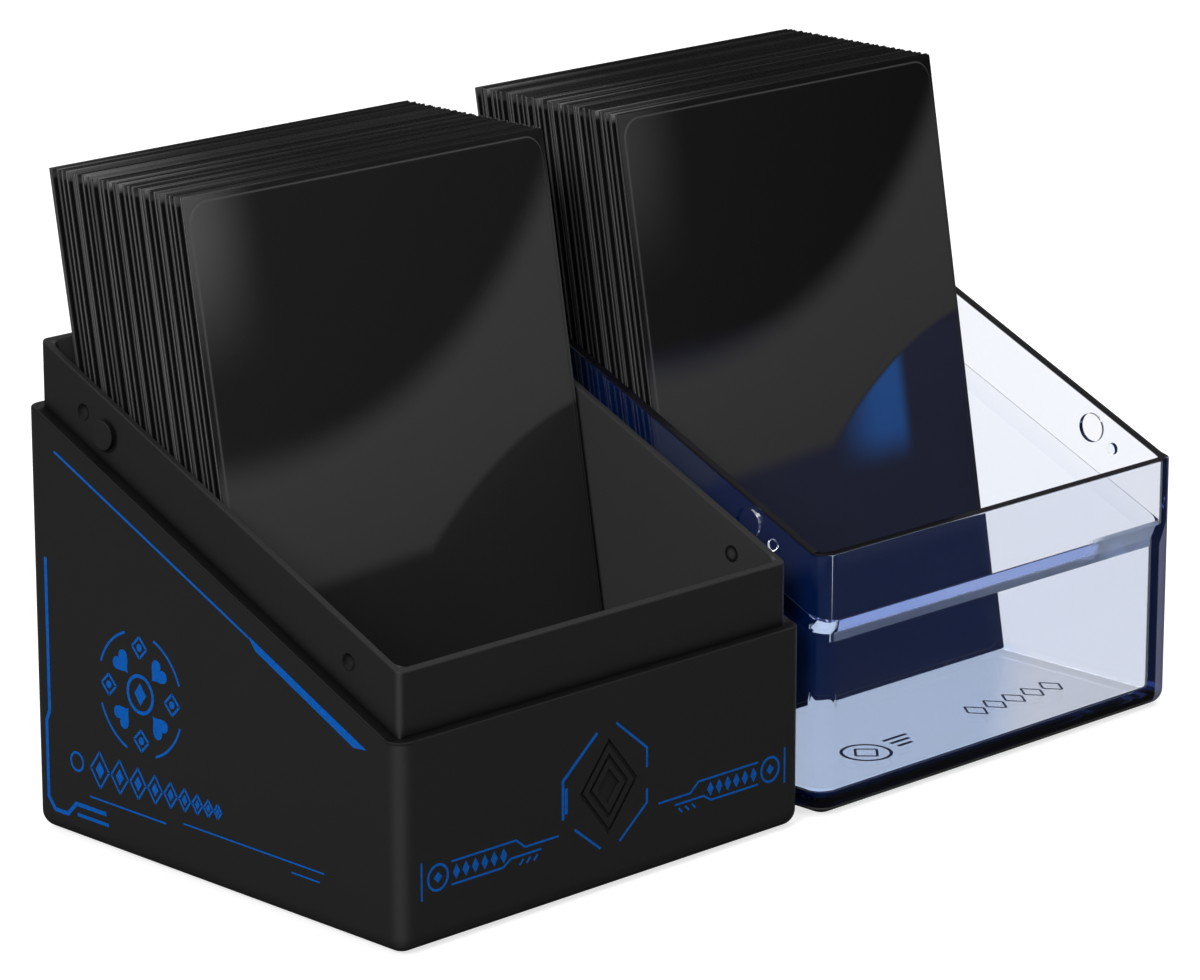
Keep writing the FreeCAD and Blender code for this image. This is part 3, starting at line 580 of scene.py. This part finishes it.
def ink_material(name, light, dark):
    """Matt ink that lies a little unevenly."""
    mat, tree, bsdf = new_material(name, light, 0.5, Specular_IOR_Level=0.1)
    patch = object_noise(tree, 1500.0, 3.0)
    add_bump(tree, bsdf, patch, 0.00001, 0.3)
    tree.links.new(mix_colours(tree, map_range(tree, patch, 0.35, 0.65), dark, light),
                   bsdf.inputs["Base Color"])
    return mat


TRAY_BLACK = black_tray_material()
LID_BLUE = blue_lid_material()
FILM_BLACK = {"base": sleeve_side_material("base_sleeve_film", 0.4),
              "lid": sleeve_side_material("lid_sleeve_film", 0.12)}
# front films with painted reflections, shade and highlights; the lid's lower fields are painted
# darker and bluer, as painted shade
FRONT_FILM = {
    "base": front_sleeve_material("front_film_base", 1.0, 0.5, (0.017, 0.017, 0.0172),
                                  (0.015, 0.015, 0.0152), 0.0),
    "lid": front_sleeve_material("front_film_lid", 0.45, 0.04, (0.0205, 0.0230, 0.0440),
                                 (0.0010, 0.0035, 0.0190), 0.95)}
CARD_BLACK = card_material()
BLUE_INK = ink_material("blue_ink", (0.0, 0.094, 0.41), (0.0, 0.076, 0.35))
DARK_INK = ink_material("dark_ink", (0.010, 0.014, 0.030), (0.006, 0.009, 0.022))

# ---- mesh making


def build(name, verts, faces, mat, body, smooth=True, uvs=None, uv_name="card_mm"):
    """A piece from points in millimetres that rides on a body."""
    mesh = bpy.data.meshes.new(name)
    mesh.from_pydata([(x * MM, y * MM, z * MM) for x, y, z in verts], [], faces)
    mesh.validate()
    mesh.materials.append(mat)
    if uvs:
        layer = mesh.uv_layers.new(name=uv_name)
        for loop in mesh.loops:
            layer.data[loop.index].uv = uvs[loop.vertex_index]
    for polygon in mesh.polygons:
        polygon.use_smooth = smooth
    obj = bpy.data.objects.new(name, mesh)
    bpy.context.scene.collection.objects.link(obj)
    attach(obj, body)
    return obj


class Solid:
    """Gathers closed shapes as points and faces."""

    def __init__(self):
        self.verts, self.faces, self.uvs = [], [], []

    def add(self, verts, faces, uvs=None):
        first = len(self.verts)
        self.verts += verts
        self.faces += [tuple(first + i for i in face) for face in faces]
        self.uvs += uvs or [(0.0, 0.0)] * len(verts)

    def add_sheet(self, outer, inner, faces, rim, uvs, inner_uvs):
        """A sheet with thickness: faces on the outer points, the same turned
        round on the inner ones, and a strip along the rim."""
        n = len(outer)
        both = [tuple(face) for face in faces]
        both += [tuple(n + i for i in reversed(face)) for face in faces]
        for a, b in zip(rim, rim[1:] + rim[:1]):
            both.append((b, a, n + a, n + b))
        self.add(outer + inner, both, uvs + inner_uvs)


def share_of(value):
    """The value, kept from 0 to 1."""
    return min(1.0, max(0.0, value))


def leaning(foot, x, n, u):
    """Millimetres across, back and up in a leaning sleeve, to the row frame."""
    return (foot[0] + x,
            foot[1] + n * math.cos(LEAN) + u * math.sin(LEAN),
            foot[2] - n * math.sin(LEAN) + u * math.cos(LEAN))


def back_of(point):
    """How far back a point is, square to the lean."""
    return point.y * math.cos(LEAN) - point.z * math.sin(LEAN)


def height_of(point):
    """How far up a point is, along the lean."""
    return point.y * math.sin(LEAN) + point.z * math.cos(LEAN)


def node_points(node):
    return [v.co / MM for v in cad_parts[node].data.vertices]


def foot_point(left, front, foot):
    """Row-frame point of a sleeve's lower front middle."""
    return leaning((left + SLEEVE_W / 2, 0.0, 0.0), 0.0, front, foot)


def slabs(node):
    """(left end, front, foot) of each sleeve that a CAD node holds: x of the left
    edge, then back and up along the lean, in millimetres, front sleeve first."""
    points = node_points(node)
    backs = sorted({round(back_of(p), 2) for p in points})
    fronts = [backs[0]]
    for value in backs:
        if value > fronts[-1] + SLEEVE_T + 0.015:
            fronts.append(value)
    slack = 0.02  # for what rounding does to the points
    found = []
    for front in fronts:
        mine = [p for p in points if -slack < back_of(p) - front < SLEEVE_T + slack]
        found.append((min(p.x for p in mine), front, min(height_of(p) for p in mine)))
    return found


# ---- sleeves behind the front

COLUMNS = (0.0, 0.08, 0.3, 0.6, 1.05, 1.6, 4.0, 12.0, 22.0, 33.0)  # in from a side
ROWS = (0.0, 0.6, 1.2, 8.0, 40.0, 70.0, 84.0, 88.7, 89.6, 90.6, 90.9, 91.0)  # up
WELD_FOOT_END = 1.3  # up to here the foot's weld shapes the film
WELD_RUN, WELD_FOOT_RUN = 0.9, 0.6  # over which the film rises from a weld
SHUT_MOST, TILT_MOST = 0.17, 0.05  # how far the mouth closes, and unevenly
LIT_EDGE = 0.1  # depth behind a cut edge that is painted lighter, as a painted highlight
LIT_TOP = 90.0  # above this the top is painted lighter, as a painted highlight
LIT_LEFT = 26.0  # and more so over this much of its left end, as a painted reflection
# edge highlights of front films are painted lighter than those of back films, as painted light;
# each film's level is random within these
FRONT_TONES, BACK_TONES = (0.50, 1.0), (0.1, 0.45)
SEAM_SHARE = 0.3  # share of the painted edge highlight left on the inner face of a film


def half_thickness(x, u, shut, tilt):
    """From the middle of a sleeve to the outside of one of its films."""
    full = share_of((SLEEVE_W / 2 - abs(x) - WELD) / WELD_RUN)
    if u < WELD_FOOT_END:
        full *= share_of((u - WELD) / WELD_FOOT_RUN)
    full = full * full * (3 - 2 * full)
    half = FILM + full * (SLEEVE_T / 2 - FILM)
    if u > CARD_TOP:
        up = (u - CARD_TOP) / (SLEEVE_H - CARD_TOP)
        half -= full * up * max(0.0, shut + tilt * x / (SLEEVE_W / 2))
    return half


def painted_film_highlight(x, u, tone, streak):
    """(share of the painted highlight by a cut edge, how light it is) for the map tone. The tops
    are painted lighter towards their left end, as a painted reflection.
    """
    from_side = SLEEVE_W / 2 - abs(x)
    if u > LIT_TOP and from_side > 2 * LIT_EDGE:
        left_end_reflection = max(0.0, 1 - (x + SLEEVE_W / 2) / LIT_LEFT)
        return ((0.25 + 0.75 * left_end_reflection) * min(1.0, (u - LIT_TOP) / 0.5),
                streak * (0.4 + 0.6 * left_end_reflection))
    return max(0.0, 1 - from_side / LIT_EDGE, 1 - (SLEEVE_H - u) / LIT_EDGE), tone


def add_film(solid, foot, side, tone, streak, shut, tilt):
    """One film of a pouch: side is -1 for the front one and 1 for the back one."""
    xs = [c - SLEEVE_W / 2 for c in COLUMNS] + [SLEEVE_W / 2 - c for c in COLUMNS[-2::-1]]
    outer, inner, tones = [], [], []
    for u in ROWS:
        for x in xs:
            at = SLEEVE_T / 2 + side * half_thickness(x, u, shut, tilt)
            outer.append(leaning(foot, x, at, u))
            inner.append(leaning(foot, x, at - side * INNER_FACE, u))
            tones.append(painted_film_highlight(x, u, tone, streak))
    seams = [(SEAM_SHARE * edge_highlight_share, light) for edge_highlight_share, light in tones]
    wide, high = len(xs), len(ROWS)
    faces = []
    for r in range(high - 1):
        for c in range(wide - 1):
            a = r * wide + c
            quad = (a, a + 1, a + wide + 1, a + wide)
            faces.append(quad if side < 0 else quad[::-1])
    last = (high - 1) * wide
    rim = (list(range(wide)) + [r * wide + wide - 1 for r in range(1, high)]
           + list(range(last + wide - 2, last - 1, -1))
           + [r * wide for r in range(high - 2, 0, -1)])
    solid.add_sheet(outer, inner, faces, rim if side < 0 else rim[::-1], tones, seams)


def add_card(solid, foot):
    corners = []
    for u in (CARD_FOOT, CARD_TOP):
        for n in (SLEEVE_T / 2 - CARD_T / 2, SLEEVE_T / 2 + CARD_T / 2):
            for x in (-CARD_W / 2, CARD_W / 2):
                corners.append(leaning(foot, x, n, u))
    solid.add(corners, [(0, 1, 5, 4), (2, 6, 7, 3), (0, 4, 6, 2), (1, 3, 7, 5),
                        (4, 5, 7, 6), (0, 2, 3, 1)])


def add_pouch(solid, foot, chance):
    """A sleeve with its card: two films welded at the sides and the foot, open at
    the top, where each gapes in its own way."""
    closes = [(chance.uniform(0.0, SHUT_MOST), chance.uniform(-TILT_MOST, TILT_MOST))
              for _ in range(2)]
    streak = chance.uniform(0.0, 1.0) ** 2
    for side, tones, (shut, tilt) in ((-1, FRONT_TONES, closes[0]), (1, BACK_TONES, closes[1])):
        add_film(solid, foot, side, chance.uniform(*tones), streak, shut, tilt)
    add_card(solid, foot)


def make_pairs(tray):
    """One piece for each CAD node, which holds two sleeved cards."""
    for node in sorted(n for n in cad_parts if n.startswith(tray + "_sleeved_pair")):
        chance = random.Random(node)
        solid = Solid()
        for left, front, foot in slabs(node):
            add_pouch(solid, foot_point(left, front, foot), chance)
        name = node.replace("sleeved_pair", "sleeves")
        obj = build(name, solid.verts, solid.faces, FILM_BLACK[tray], tray + "_cards",
                    smooth=False, uvs=solid.uvs, uv_name="tone")
        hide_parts(node)


make_pairs("base")
make_pairs("lid")

# ---- front sleeves

SLEEVE_CORNER_R = 0.35
# Rings of the front film, each so far out from the card's outline, and the share
# of its full height that the film has reached there
OUTLINE_RINGS = ((0.45, 0.02), (0.22, 0.05), (0.13, 0.16), (-0.05, 0.88), (-0.13, 0.97),
                 (-0.4, 1.0))
INNER_RINGS = 9  # from there to the film's middle
FILM_BOW = 0.22  # how far the film bulges off the card
BACK_SCALES = (1.0, 0.955, 0.5)  # rings of the back film
MOUTH_RISE, MOUTH_RUN = 0.55, 1.5  # how far the front film stands off at the mouth
MOUTH_SIDE, MOUTH_SIDE_RUN = 0.3, 1.0


def rounded_ring(half_w, low, high, radius, corner_steps=8, across=10, along=14):
    """Points round a rectangle with rounded corners, anticlockwise from the
    lower left corner, as (x, u); every call gives as many points."""
    right, left = half_w - radius, radius - half_w
    bottom, top = low + radius, high - radius
    corners = ((right, bottom, -90), (right, top, 0), (left, top, 90), (left, bottom, 180))
    arcs = []
    for centre_x, centre_u, angle in corners:
        turns = [math.radians(angle + 90 * k / corner_steps) for k in range(corner_steps + 1)]
        arcs.append([(centre_x + radius * math.cos(turn), centre_u + radius * math.sin(turn))
                     for turn in turns])
    points = []
    for index, run in enumerate((along, across, along, across)):
        x, u = arcs[index][-1]
        next_x, next_u = arcs[(index + 1) % 4][0]
        points += arcs[index]
        points += [(x + (next_x - x) * k / run, u + (next_u - u) * k / run)
                   for k in range(1, run)]
    return points


def ring_faces(rings, around):
    """Quads between rings of points that lie one after another."""
    faces = []
    for r in range(rings - 1):
        for k in range(around):
            a, b = r * around + k, r * around + (k + 1) % around
            faces.append((a, b, b + around, a + around))
    return faces


def card_uv(x, u):
    return (x / UV_SPAN + 0.5, u / UV_SPAN)


def add_front_film(solid, foot, edge):
    """The film over the card: it rises round the card's outline and bows a little."""
    rings = [(edge, 0.0)]
    for out, rise in OUTLINE_RINGS:
        rings.append((rounded_ring(OUTLINE_HALF + out, CARD_FOOT - out, OUTLINE_TOP + out,
                                   OUTLINE_R + out), rise))
    innermost = rings[-1][0]
    for k in range(1, INNER_RINGS):
        scale = 1 - k / INNER_RINGS
        rings.append(([(x * scale, CARD_MIDDLE + (u - CARD_MIDDLE) * scale)
                       for x, u in innermost], 1.0))
    outer, inner, uvs = [], [], []
    for ring, rise in rings:
        for x, u in ring:
            at_mouth = share_of((u - CARD_TOP) / MOUTH_RUN) * share_of(
                (SLEEVE_W / 2 - MOUTH_SIDE - abs(x)) / MOUTH_SIDE_RUN)
            stands = max(rise, MOUTH_RISE * at_mouth)
            bow = FILM_BOW * max(0.0, 1 - (x / OUTLINE_HALF) ** 2) * max(
                0.0, 1 - ((u - 45) / 46) ** 2)
            n = (SLEEVE_T / 2 - FILM) * (1 - stands) - bow * rise
            outer.append(leaning(foot, x, n, u))
            inner.append(leaning(foot, x, n + INNER_FACE, u))
            uvs.append(card_uv(x, u))
    around = len(edge)
    faces = ring_faces(len(rings), around)
    centre = len(outer)
    outer.append(leaning(foot, 0.0, -FILM_BOW, CARD_MIDDLE))
    inner.append(leaning(foot, 0.0, -FILM_BOW + FILM, CARD_MIDDLE))
    uvs.append(card_uv(0.0, CARD_MIDDLE))
    last = (len(rings) - 1) * around
    faces += [(last + k, last + (k + 1) % around, centre) for k in range(around)]
    solid.add_sheet(outer, inner, faces, list(range(around)), uvs, uvs)


def add_back_film(solid, foot, edge):
    """The flat film behind the card, from the same edge as the front one."""
    outer, inner, uvs = [], [], []
    for scale in BACK_SCALES:
        for edge_x, edge_u in edge:
            at_top = edge_u > CARD_TOP and scale > BACK_SCALES[-1]
            x = edge_x * scale
            u = SLEEVE_H / 2 + (edge_u - SLEEVE_H / 2) * (1.0 if at_top else scale)
            n = SLEEVE_T / 2 + FILM if scale == 1.0 else SLEEVE_T
            outer.append(leaning(foot, x, n, u))
            inner.append(leaning(foot, x, n - INNER_FACE, u))
            uvs.append(card_uv(x, u))
    around = len(edge)
    faces = [(b, a, d, c) for a, b, c, d in ring_faces(len(BACK_SCALES), around)]
    last = (len(BACK_SCALES) - 1) * around
    faces.append(tuple(reversed(range(last, last + around))))
    solid.add_sheet(outer, inner, faces, list(range(around))[::-1], uvs, uvs)


def front_sleeve(tray):
    """The front sleeve, whose film stands up round the outline of its card."""
    points = node_points(tray + "_front_sleeve")
    foot = foot_point(min(p.x for p in points), min(back_of(p) for p in points),
                      min(height_of(p) for p in points))
    edge = rounded_ring(SLEEVE_W / 2, 0.0, SLEEVE_H, SLEEVE_CORNER_R)
    solid = Solid()
    add_front_film(solid, foot, edge)
    add_back_film(solid, foot, edge)
    obj = build(tray + "_front_pouch", solid.verts, solid.faces, FRONT_FILM[tray],
                tray + "_front", uvs=solid.uvs)
    obj.data.set_sharp_from_angle(angle=math.radians(50))
    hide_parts(tray + "_front_sleeve")


front_sleeve("base")
front_sleeve("lid")

# ---- CAD pieces

for node, mat in (("base_shell", TRAY_BLACK), ("lid_shell", LID_BLUE),
                  ("base_front_card", CARD_BLACK), ("lid_front_card", CARD_BLACK)):
    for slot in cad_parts[node].material_slots:
        slot.link = "OBJECT"
        slot.material = mat

# ---- prints


class Print:
    """Flat shapes on a plane of the object, as thin closed prisms. place turns
    (a, b, lift) into a row-frame point."""

    def __init__(self, place):
        self.place = place
        self.solid = Solid()

    def shape(self, points):
        """A filled outline, either way round."""
        area = sum(p[0] * q[1] - q[0] * p[1] for p, q in zip(points, points[1:] + points[:1]))
        if area < 0:
            points = points[::-1]
        n = len(points)
        top = [self.place(a, b, PRINT_LIFT) for a, b in points]
        foot = [self.place(a, b, -PRINT_SUNK) for a, b in points]
        faces = [tuple(range(n)), tuple(range(2 * n - 1, n - 1, -1))]
        faces += [(k, n + k, n + (k + 1) % n, (k + 1) % n) for k in range(n)]
        self.solid.add(top + foot, faces)

    def bar(self, start, end, width):
        (a, b), (c, d) = start, end
        length = math.hypot(c - a, d - b)
        s, t = -(d - b) / length * width / 2, (c - a) / length * width / 2
        self.shape([(a + s, b + t), (a - s, b - t), (c - s, d - t), (c + s, d + t)])

    def line(self, points, width):
        """A run of strokes with square ends, mitred at the turns."""
        sides = ([], [])
        for k, (a, b) in enumerate(points):
            before = points[k - 1] if k else None
            after = points[k + 1] if k + 1 < len(points) else None
            ways = []
            for p, q in ((before, (a, b)), ((a, b), after)):
                if p and q:
                    run = math.hypot(q[0] - p[0], q[1] - p[1])
                    ways.append(((q[0] - p[0]) / run, (q[1] - p[1]) / run))
            nx = -sum(w[1] for w in ways)
            ny = sum(w[0] for w in ways)
            size = math.hypot(nx, ny)
            nx, ny = nx / size, ny / size
            reach = width / 2 / max(0.35, -nx * ways[0][1] + ny * ways[0][0])
            sides[0].append((a + nx * reach, b + ny * reach))
            sides[1].append((a - nx * reach, b - ny * reach))
        for k in range(len(points) - 1):
            self.shape([sides[0][k], sides[1][k], sides[1][k + 1], sides[0][k + 1]])

    def ring(self, centre, radius, width, start=0.0, sweep=360.0, steps=36):
        self.line([round_from(centre, radius, start + sweep * k / steps)
                   for k in range(steps + 1)], width)

    def disc(self, centre, radius, steps=20):
        self.shape([round_from(centre, radius, 360 * k / steps) for k in range(steps)])

    def lozenge(self, centre, half_w, half_h):
        self.shape(lozenge_points(centre, half_w, half_h))

    def lozenge_line(self, centre, half_w, half_h, width):
        run = lozenge_points(centre, half_w, half_h)
        for p, q in zip(run, run[1:] + run[:1]):
            self.bar(p, q, width)

    def finish(self, name, mat, body):
        obj = build(name, self.solid.verts, self.solid.faces, mat, body, smooth=False)


def round_from(centre, radius, degrees):
    """The point at that radius and angle from the centre."""
    angle = math.radians(degrees)
    return (centre[0] + radius * math.cos(angle), centre[1] + radius * math.sin(angle))


def lozenge_points(centre, half_w, half_h):
    a, b = centre
    return [(a + half_w, b), (a, b + half_h), (a - half_w, b), (a, b - half_h)]


def heart(centre, size, turn):
    """Outline of a heart pip of about that half-height."""
    steps = 28
    run = []
    for k in range(steps):
        t = 2 * math.pi * k / steps
        a = 16 * math.sin(t) ** 3 / 17
        b = (13 * math.cos(t) - 5 * math.cos(2 * t) - 2 * math.cos(3 * t) - math.cos(4 * t)) / 17
        run.append((a * size, b * size))
    c, s = math.cos(turn), math.sin(turn)
    return [(centre[0] + a * c - b * s, centre[1] + a * s + b * c) for a, b in run]


def left_face(a, b, lift):
    """a runs from the back to the front of the base's left side, b up."""
    return (-TRAY_W / 2 - lift, -a, b)


def front_face(a, b, lift):
    return (a, -TRAY_D / 2 - lift, b)


def lid_floor(a, b, lift):
    return (a, b, FLOOR_TOP + lift)


def rosette(ink, middle):
    """Hearts and lozenges in turn round a lozenge, within a broken ring."""
    ink.ring(middle, 2.6, 0.5)
    ink.lozenge(middle, 1.2, 1.6)
    for quarter in (0, 90, 180, 270):
        diagonal = 45 + quarter
        ink.shape(heart(round_from(middle, 5.4, diagonal), 1.9, math.radians(diagonal - 90)))
        tip = round_from(middle, 6.6, quarter)
        ink.lozenge_line(tip, 1.5, 1.5, 0.35)
        ink.disc(tip, 0.55)
    for start in (20, 110, 200, 290):
        ink.ring(middle, 8.7, 0.35, start, 50)


def left_print():
    ink = Print(left_face)

    def at(y, z):
        return (-y, z)

    # stripe along the parting line, and the bracket below it
    ink.line([at(31.1, 55.0), at(-8.6, 37.25)], 0.34)
    ink.shape([at(-8.3, 37.6), at(-9.9, 35.7), at(-28.9, 26.85), at(-31.4, 27.05)])
    ink.line([at(33.6, 39.6), at(33.6, 17.6), at(34.3, 16.0), at(34.3, 5.0), at(32.9, 3.4),
              at(30.2, 3.4), at(28.3, 5.3), at(21.9, 5.3)], 0.6)
    ink.line([at(28.1, 3.8), at(21.4, 3.8)], 0.5)
    rosette(ink, at(14.0, 24.3))
    # row of lozenges that gets smaller towards the front
    y, row_z = 23.0, 11.4
    for k in range(9):
        size = 2.6 - 0.2 * k
        ink.lozenge_line(at(y, row_z), size * 0.75, size, 0.3)
        ink.lozenge(at(y, row_z), size * 0.35, size * 0.5)
        y -= size * 1.62
    ink.ring(at(27.9, 11.5), 1.3, 0.35)
    for from_y, to_y, z, width in ((5.5, -22.8, 8.0, 0.22), (25.3, 9.2, 7.1, 0.25),
                                   (-16.4, -21.9, 6.6, 0.22)):
        ink.line([at(from_y, z), at(to_y, z)], width)
    ink.finish("base_left_print", BLUE_INK, "base")


def front_print():
    ink = Print(front_face)
    # broken lozenge round the sunk one
    ink.line([(-8.6, 11.9), (-8.6, 17.3), (-2.2, 22.6)], 0.45)
    ink.line([(-8.0, 12.6), (-8.0, 16.2)], 0.5)
    for stroke in ([(1.4, 23.2), (7.2, 18.4), (7.2, 15.6)], [(7.2, 12.6), (7.2, 10.6), (2.0, 6.4)],
                   [(-1.6, 6.2), (-6.4, 10.0)]):
        ink.line(stroke, 0.35)
    # a band of lozenges to each side
    row_z = 9.6
    for side in (-1, 1):
        def at(a, b):
            return (side * a, b)
        ink.ring(at(31.3, row_z), 1.75, 0.35)
        ink.lozenge(at(31.3, row_z), 0.75, 0.75)
        ink.line([at(28.9, 11.2), at(17.2, 11.2), at(15.6, 9.9), at(9.4, 9.9)], 0.28)
        ink.line([at(28.9, 8.0), at(19.6, 8.0), at(18.2, 8.9), at(12.6, 8.9)], 0.28)
        for k in range(6):
            ink.lozenge(at(28.0 - 1.7 * k, row_z), 0.62, 1.05)
        for k in range(3):
            ink.bar(at(16.6 - 1.3 * k, 7.6), at(15.9 - 1.3 * k, 8.3), 0.3)
        ink.line([at(34.2, 12.2), at(34.2, 7.0)], 0.3)
    ink.finish("base_front_print", BLUE_INK, "base")


def floor_print():
    ink = Print(lid_floor)
    seal = (62.0, -26.0)
    ink.ring(seal, 3.6, 0.5)
    ink.lozenge_line(seal, 2.2, 2.2, 0.4)
    for k in range(3):
        y = -24.2 - 1.5 * k
        ink.bar((67.5, y), (72.5 - k, y), 0.6)
    for k in range(5):
        ink.lozenge_line((88.0 + 4.2 * k, -24.0), 1.7, 2.3, 0.35)
    ink.finish("lid_floor_print", DARK_INK, "lid")


left_print()
front_print()
floor_print()

# ---- floor, light, camera

FLOOR_HALF, FLOOR_DROP = 6.0, 0.0002  # metres: half its width, and how far it is down
FLOOR_PALE = grey(0.42)
GLOSSY_FLOOR = grey(0.06)  # floor as shiny surfaces mirror it
FLOOR_GLOW = 0.72  # what makes the lit floor white to the eye
FLOOR_GLOW_THROUGH = 1.03  # the same through clear plastic, where it is in shade
MIRRORED_THROUGH = 0.02  # share left where an inner face mirrors it once
WORLD_DULL = 0.30  # surroundings as light on dull surfaces
WORLD_LOW = {"glossy": 0.10, "through": 1.0}  # low surroundings, mirrored or seen
WORLD_HIGH = {"glossy": 0.35, "through": 0.30}  # and those high up
WORLD_CHANGE = (0.35, 0.60)  # height of the change, as the sine of its angle
CAMERA_PLACE = (-0.474664, -0.515400, 0.242972)  # metres
CAMERA_DOWN, CAMERA_TURN = math.radians(15.5362), math.radians(-44.7036)


def path_share(tree, ray):
    """1 for a ray of this kind."""
    return tree.nodes.new("ShaderNodeLightPath").outputs[ray]


def through_share(tree):
    """1 where the eye meets the backdrop through the clear lid. What is mirrored
    once on the way, in an inner face or on a sleeve, is as dark as what other
    shiny faces mirror; light that is piped along a wall stays bright."""
    path = tree.nodes.new("ShaderNodeLightPath")
    sharp = maths(tree, "LESS_THAN", path.outputs["Diffuse Depth"], 0.5)
    once = maths(tree, "COMPARE", path.outputs["Glossy Depth"], 1.0, 0.5)
    bright = map_range(tree, once, 0.0, 1.0, 1.0, MIRRORED_THROUGH)
    return product(tree, path.outputs["Is Transmission Ray"], sharp, bright)


def make_floor():
    mesh = bpy.data.meshes.new("floor")
    far = FLOOR_HALF
    mesh.from_pydata([(-far, -far, 0), (far, -far, 0), (far, far, 0), (-far, far, 0)], [],
                     [(0, 1, 2, 3)])
    floor = bpy.data.objects.new("floor", mesh)
    bpy.context.scene.collection.objects.link(floor)
    floor.location.z = -FLOOR_DROP
    mat, tree, bsdf = new_material("pale_floor", FLOOR_PALE, 0.9, Specular_IOR_Level=0.1)
    tree.links.new(mix_colours(tree, path_share(tree, "Is Glossy Ray"), FLOOR_PALE,
                               GLOSSY_FLOOR), bsdf.inputs["Base Color"])
    glow = tree.nodes.new("ShaderNodeEmission")
    glow.inputs["Color"].default_value = (*WHITE, 1.0)
    straight = product(tree, path_share(tree, "Is Camera Ray"), FLOOR_GLOW)
    through = product(tree, through_share(tree), FLOOR_GLOW_THROUGH)
    tree.links.new(largest(tree, straight, through), glow.inputs["Strength"])
    add = tree.nodes.new("ShaderNodeAddShader")
    tree.links.new(bsdf.outputs["BSDF"], add.inputs[0])
    tree.links.new(glow.outputs["Emission"], add.inputs[1])
    tree.links.new(add.outputs["Shader"], tree.nodes["Material Output"].inputs["Surface"])
    mesh.materials.append(mat)


def make_world():
    world = bpy.data.worlds.new("studio")
    bpy.context.scene.world = world
    world.use_nodes = True
    tree = world.node_tree
    back = tree.nodes["Background"]
    coords = tree.nodes.new("ShaderNodeTexCoord")
    split = tree.nodes.new("ShaderNodeSeparateXYZ")
    tree.links.new(coords.outputs["Generated"], split.inputs["Vector"])
    level = largest(tree, WORLD_DULL, path_share(tree, "Is Camera Ray"))
    for kind, share in (("glossy", path_share(tree, "Is Glossy Ray")),
                        ("through", through_share(tree))):
        by_height = map_range(tree, split.outputs["Z"], *WORLD_CHANGE, WORLD_LOW[kind],
                              WORLD_HIGH[kind], smooth=True)
        step = tree.nodes.new("ShaderNodeMix")
        tree.links.new(share, step.inputs["Factor"])
        tree.links.new(level, step.inputs["A"])
        tree.links.new(by_height, step.inputs["B"])
        level = step.outputs["Result"]
    tree.links.new(level, back.inputs["Strength"])
    back.inputs["Color"].default_value = (*WHITE, 1.0)


def soft_lamp(name, place, aim, size, power):
    lamp = bpy.data.lights.new(name, "AREA")
    lamp.shape = "DISK"
    lamp.size = size
    lamp.energy = power
    obj = bpy.data.objects.new(name, lamp)
    obj.location = place
    way = Vector(aim) - Vector(place)
    obj.rotation_euler = way.to_track_quat("-Z", "Y").to_euler()
    obj.visible_glossy = False
    bpy.context.scene.collection.objects.link(obj)


def make_camera():
    camera = bpy.data.cameras.new("camera")
    camera.sensor_width = 36.0
    camera.lens = 159.39
    camera.clip_start = 0.01
    camera.clip_end = 50.0
    obj = bpy.data.objects.new("camera", camera)
    obj.location = CAMERA_PLACE
    obj.rotation_euler = Euler((math.pi / 2 - CAMERA_DOWN, 0.0, CAMERA_TURN))
    bpy.context.scene.collection.objects.link(obj)
    bpy.context.scene.camera = obj


make_floor()
make_world()
soft_lamp("left_front_lamp", (-1.05, -0.45, 0.85), (0.03, 0, 0.04), 0.6, 16.0)
soft_lamp("right_back_lamp", (0.8, 0.9, 0.7), (0.04, 0, 0.05), 0.6, 7.0)
soft_lamp("top_lamp", (0.1, -0.1, 1.2), (0.04, 0, 0.0), 0.8, 8.0)
make_camera()
bpy.context.scene.view_settings.view_transform = "Standard"
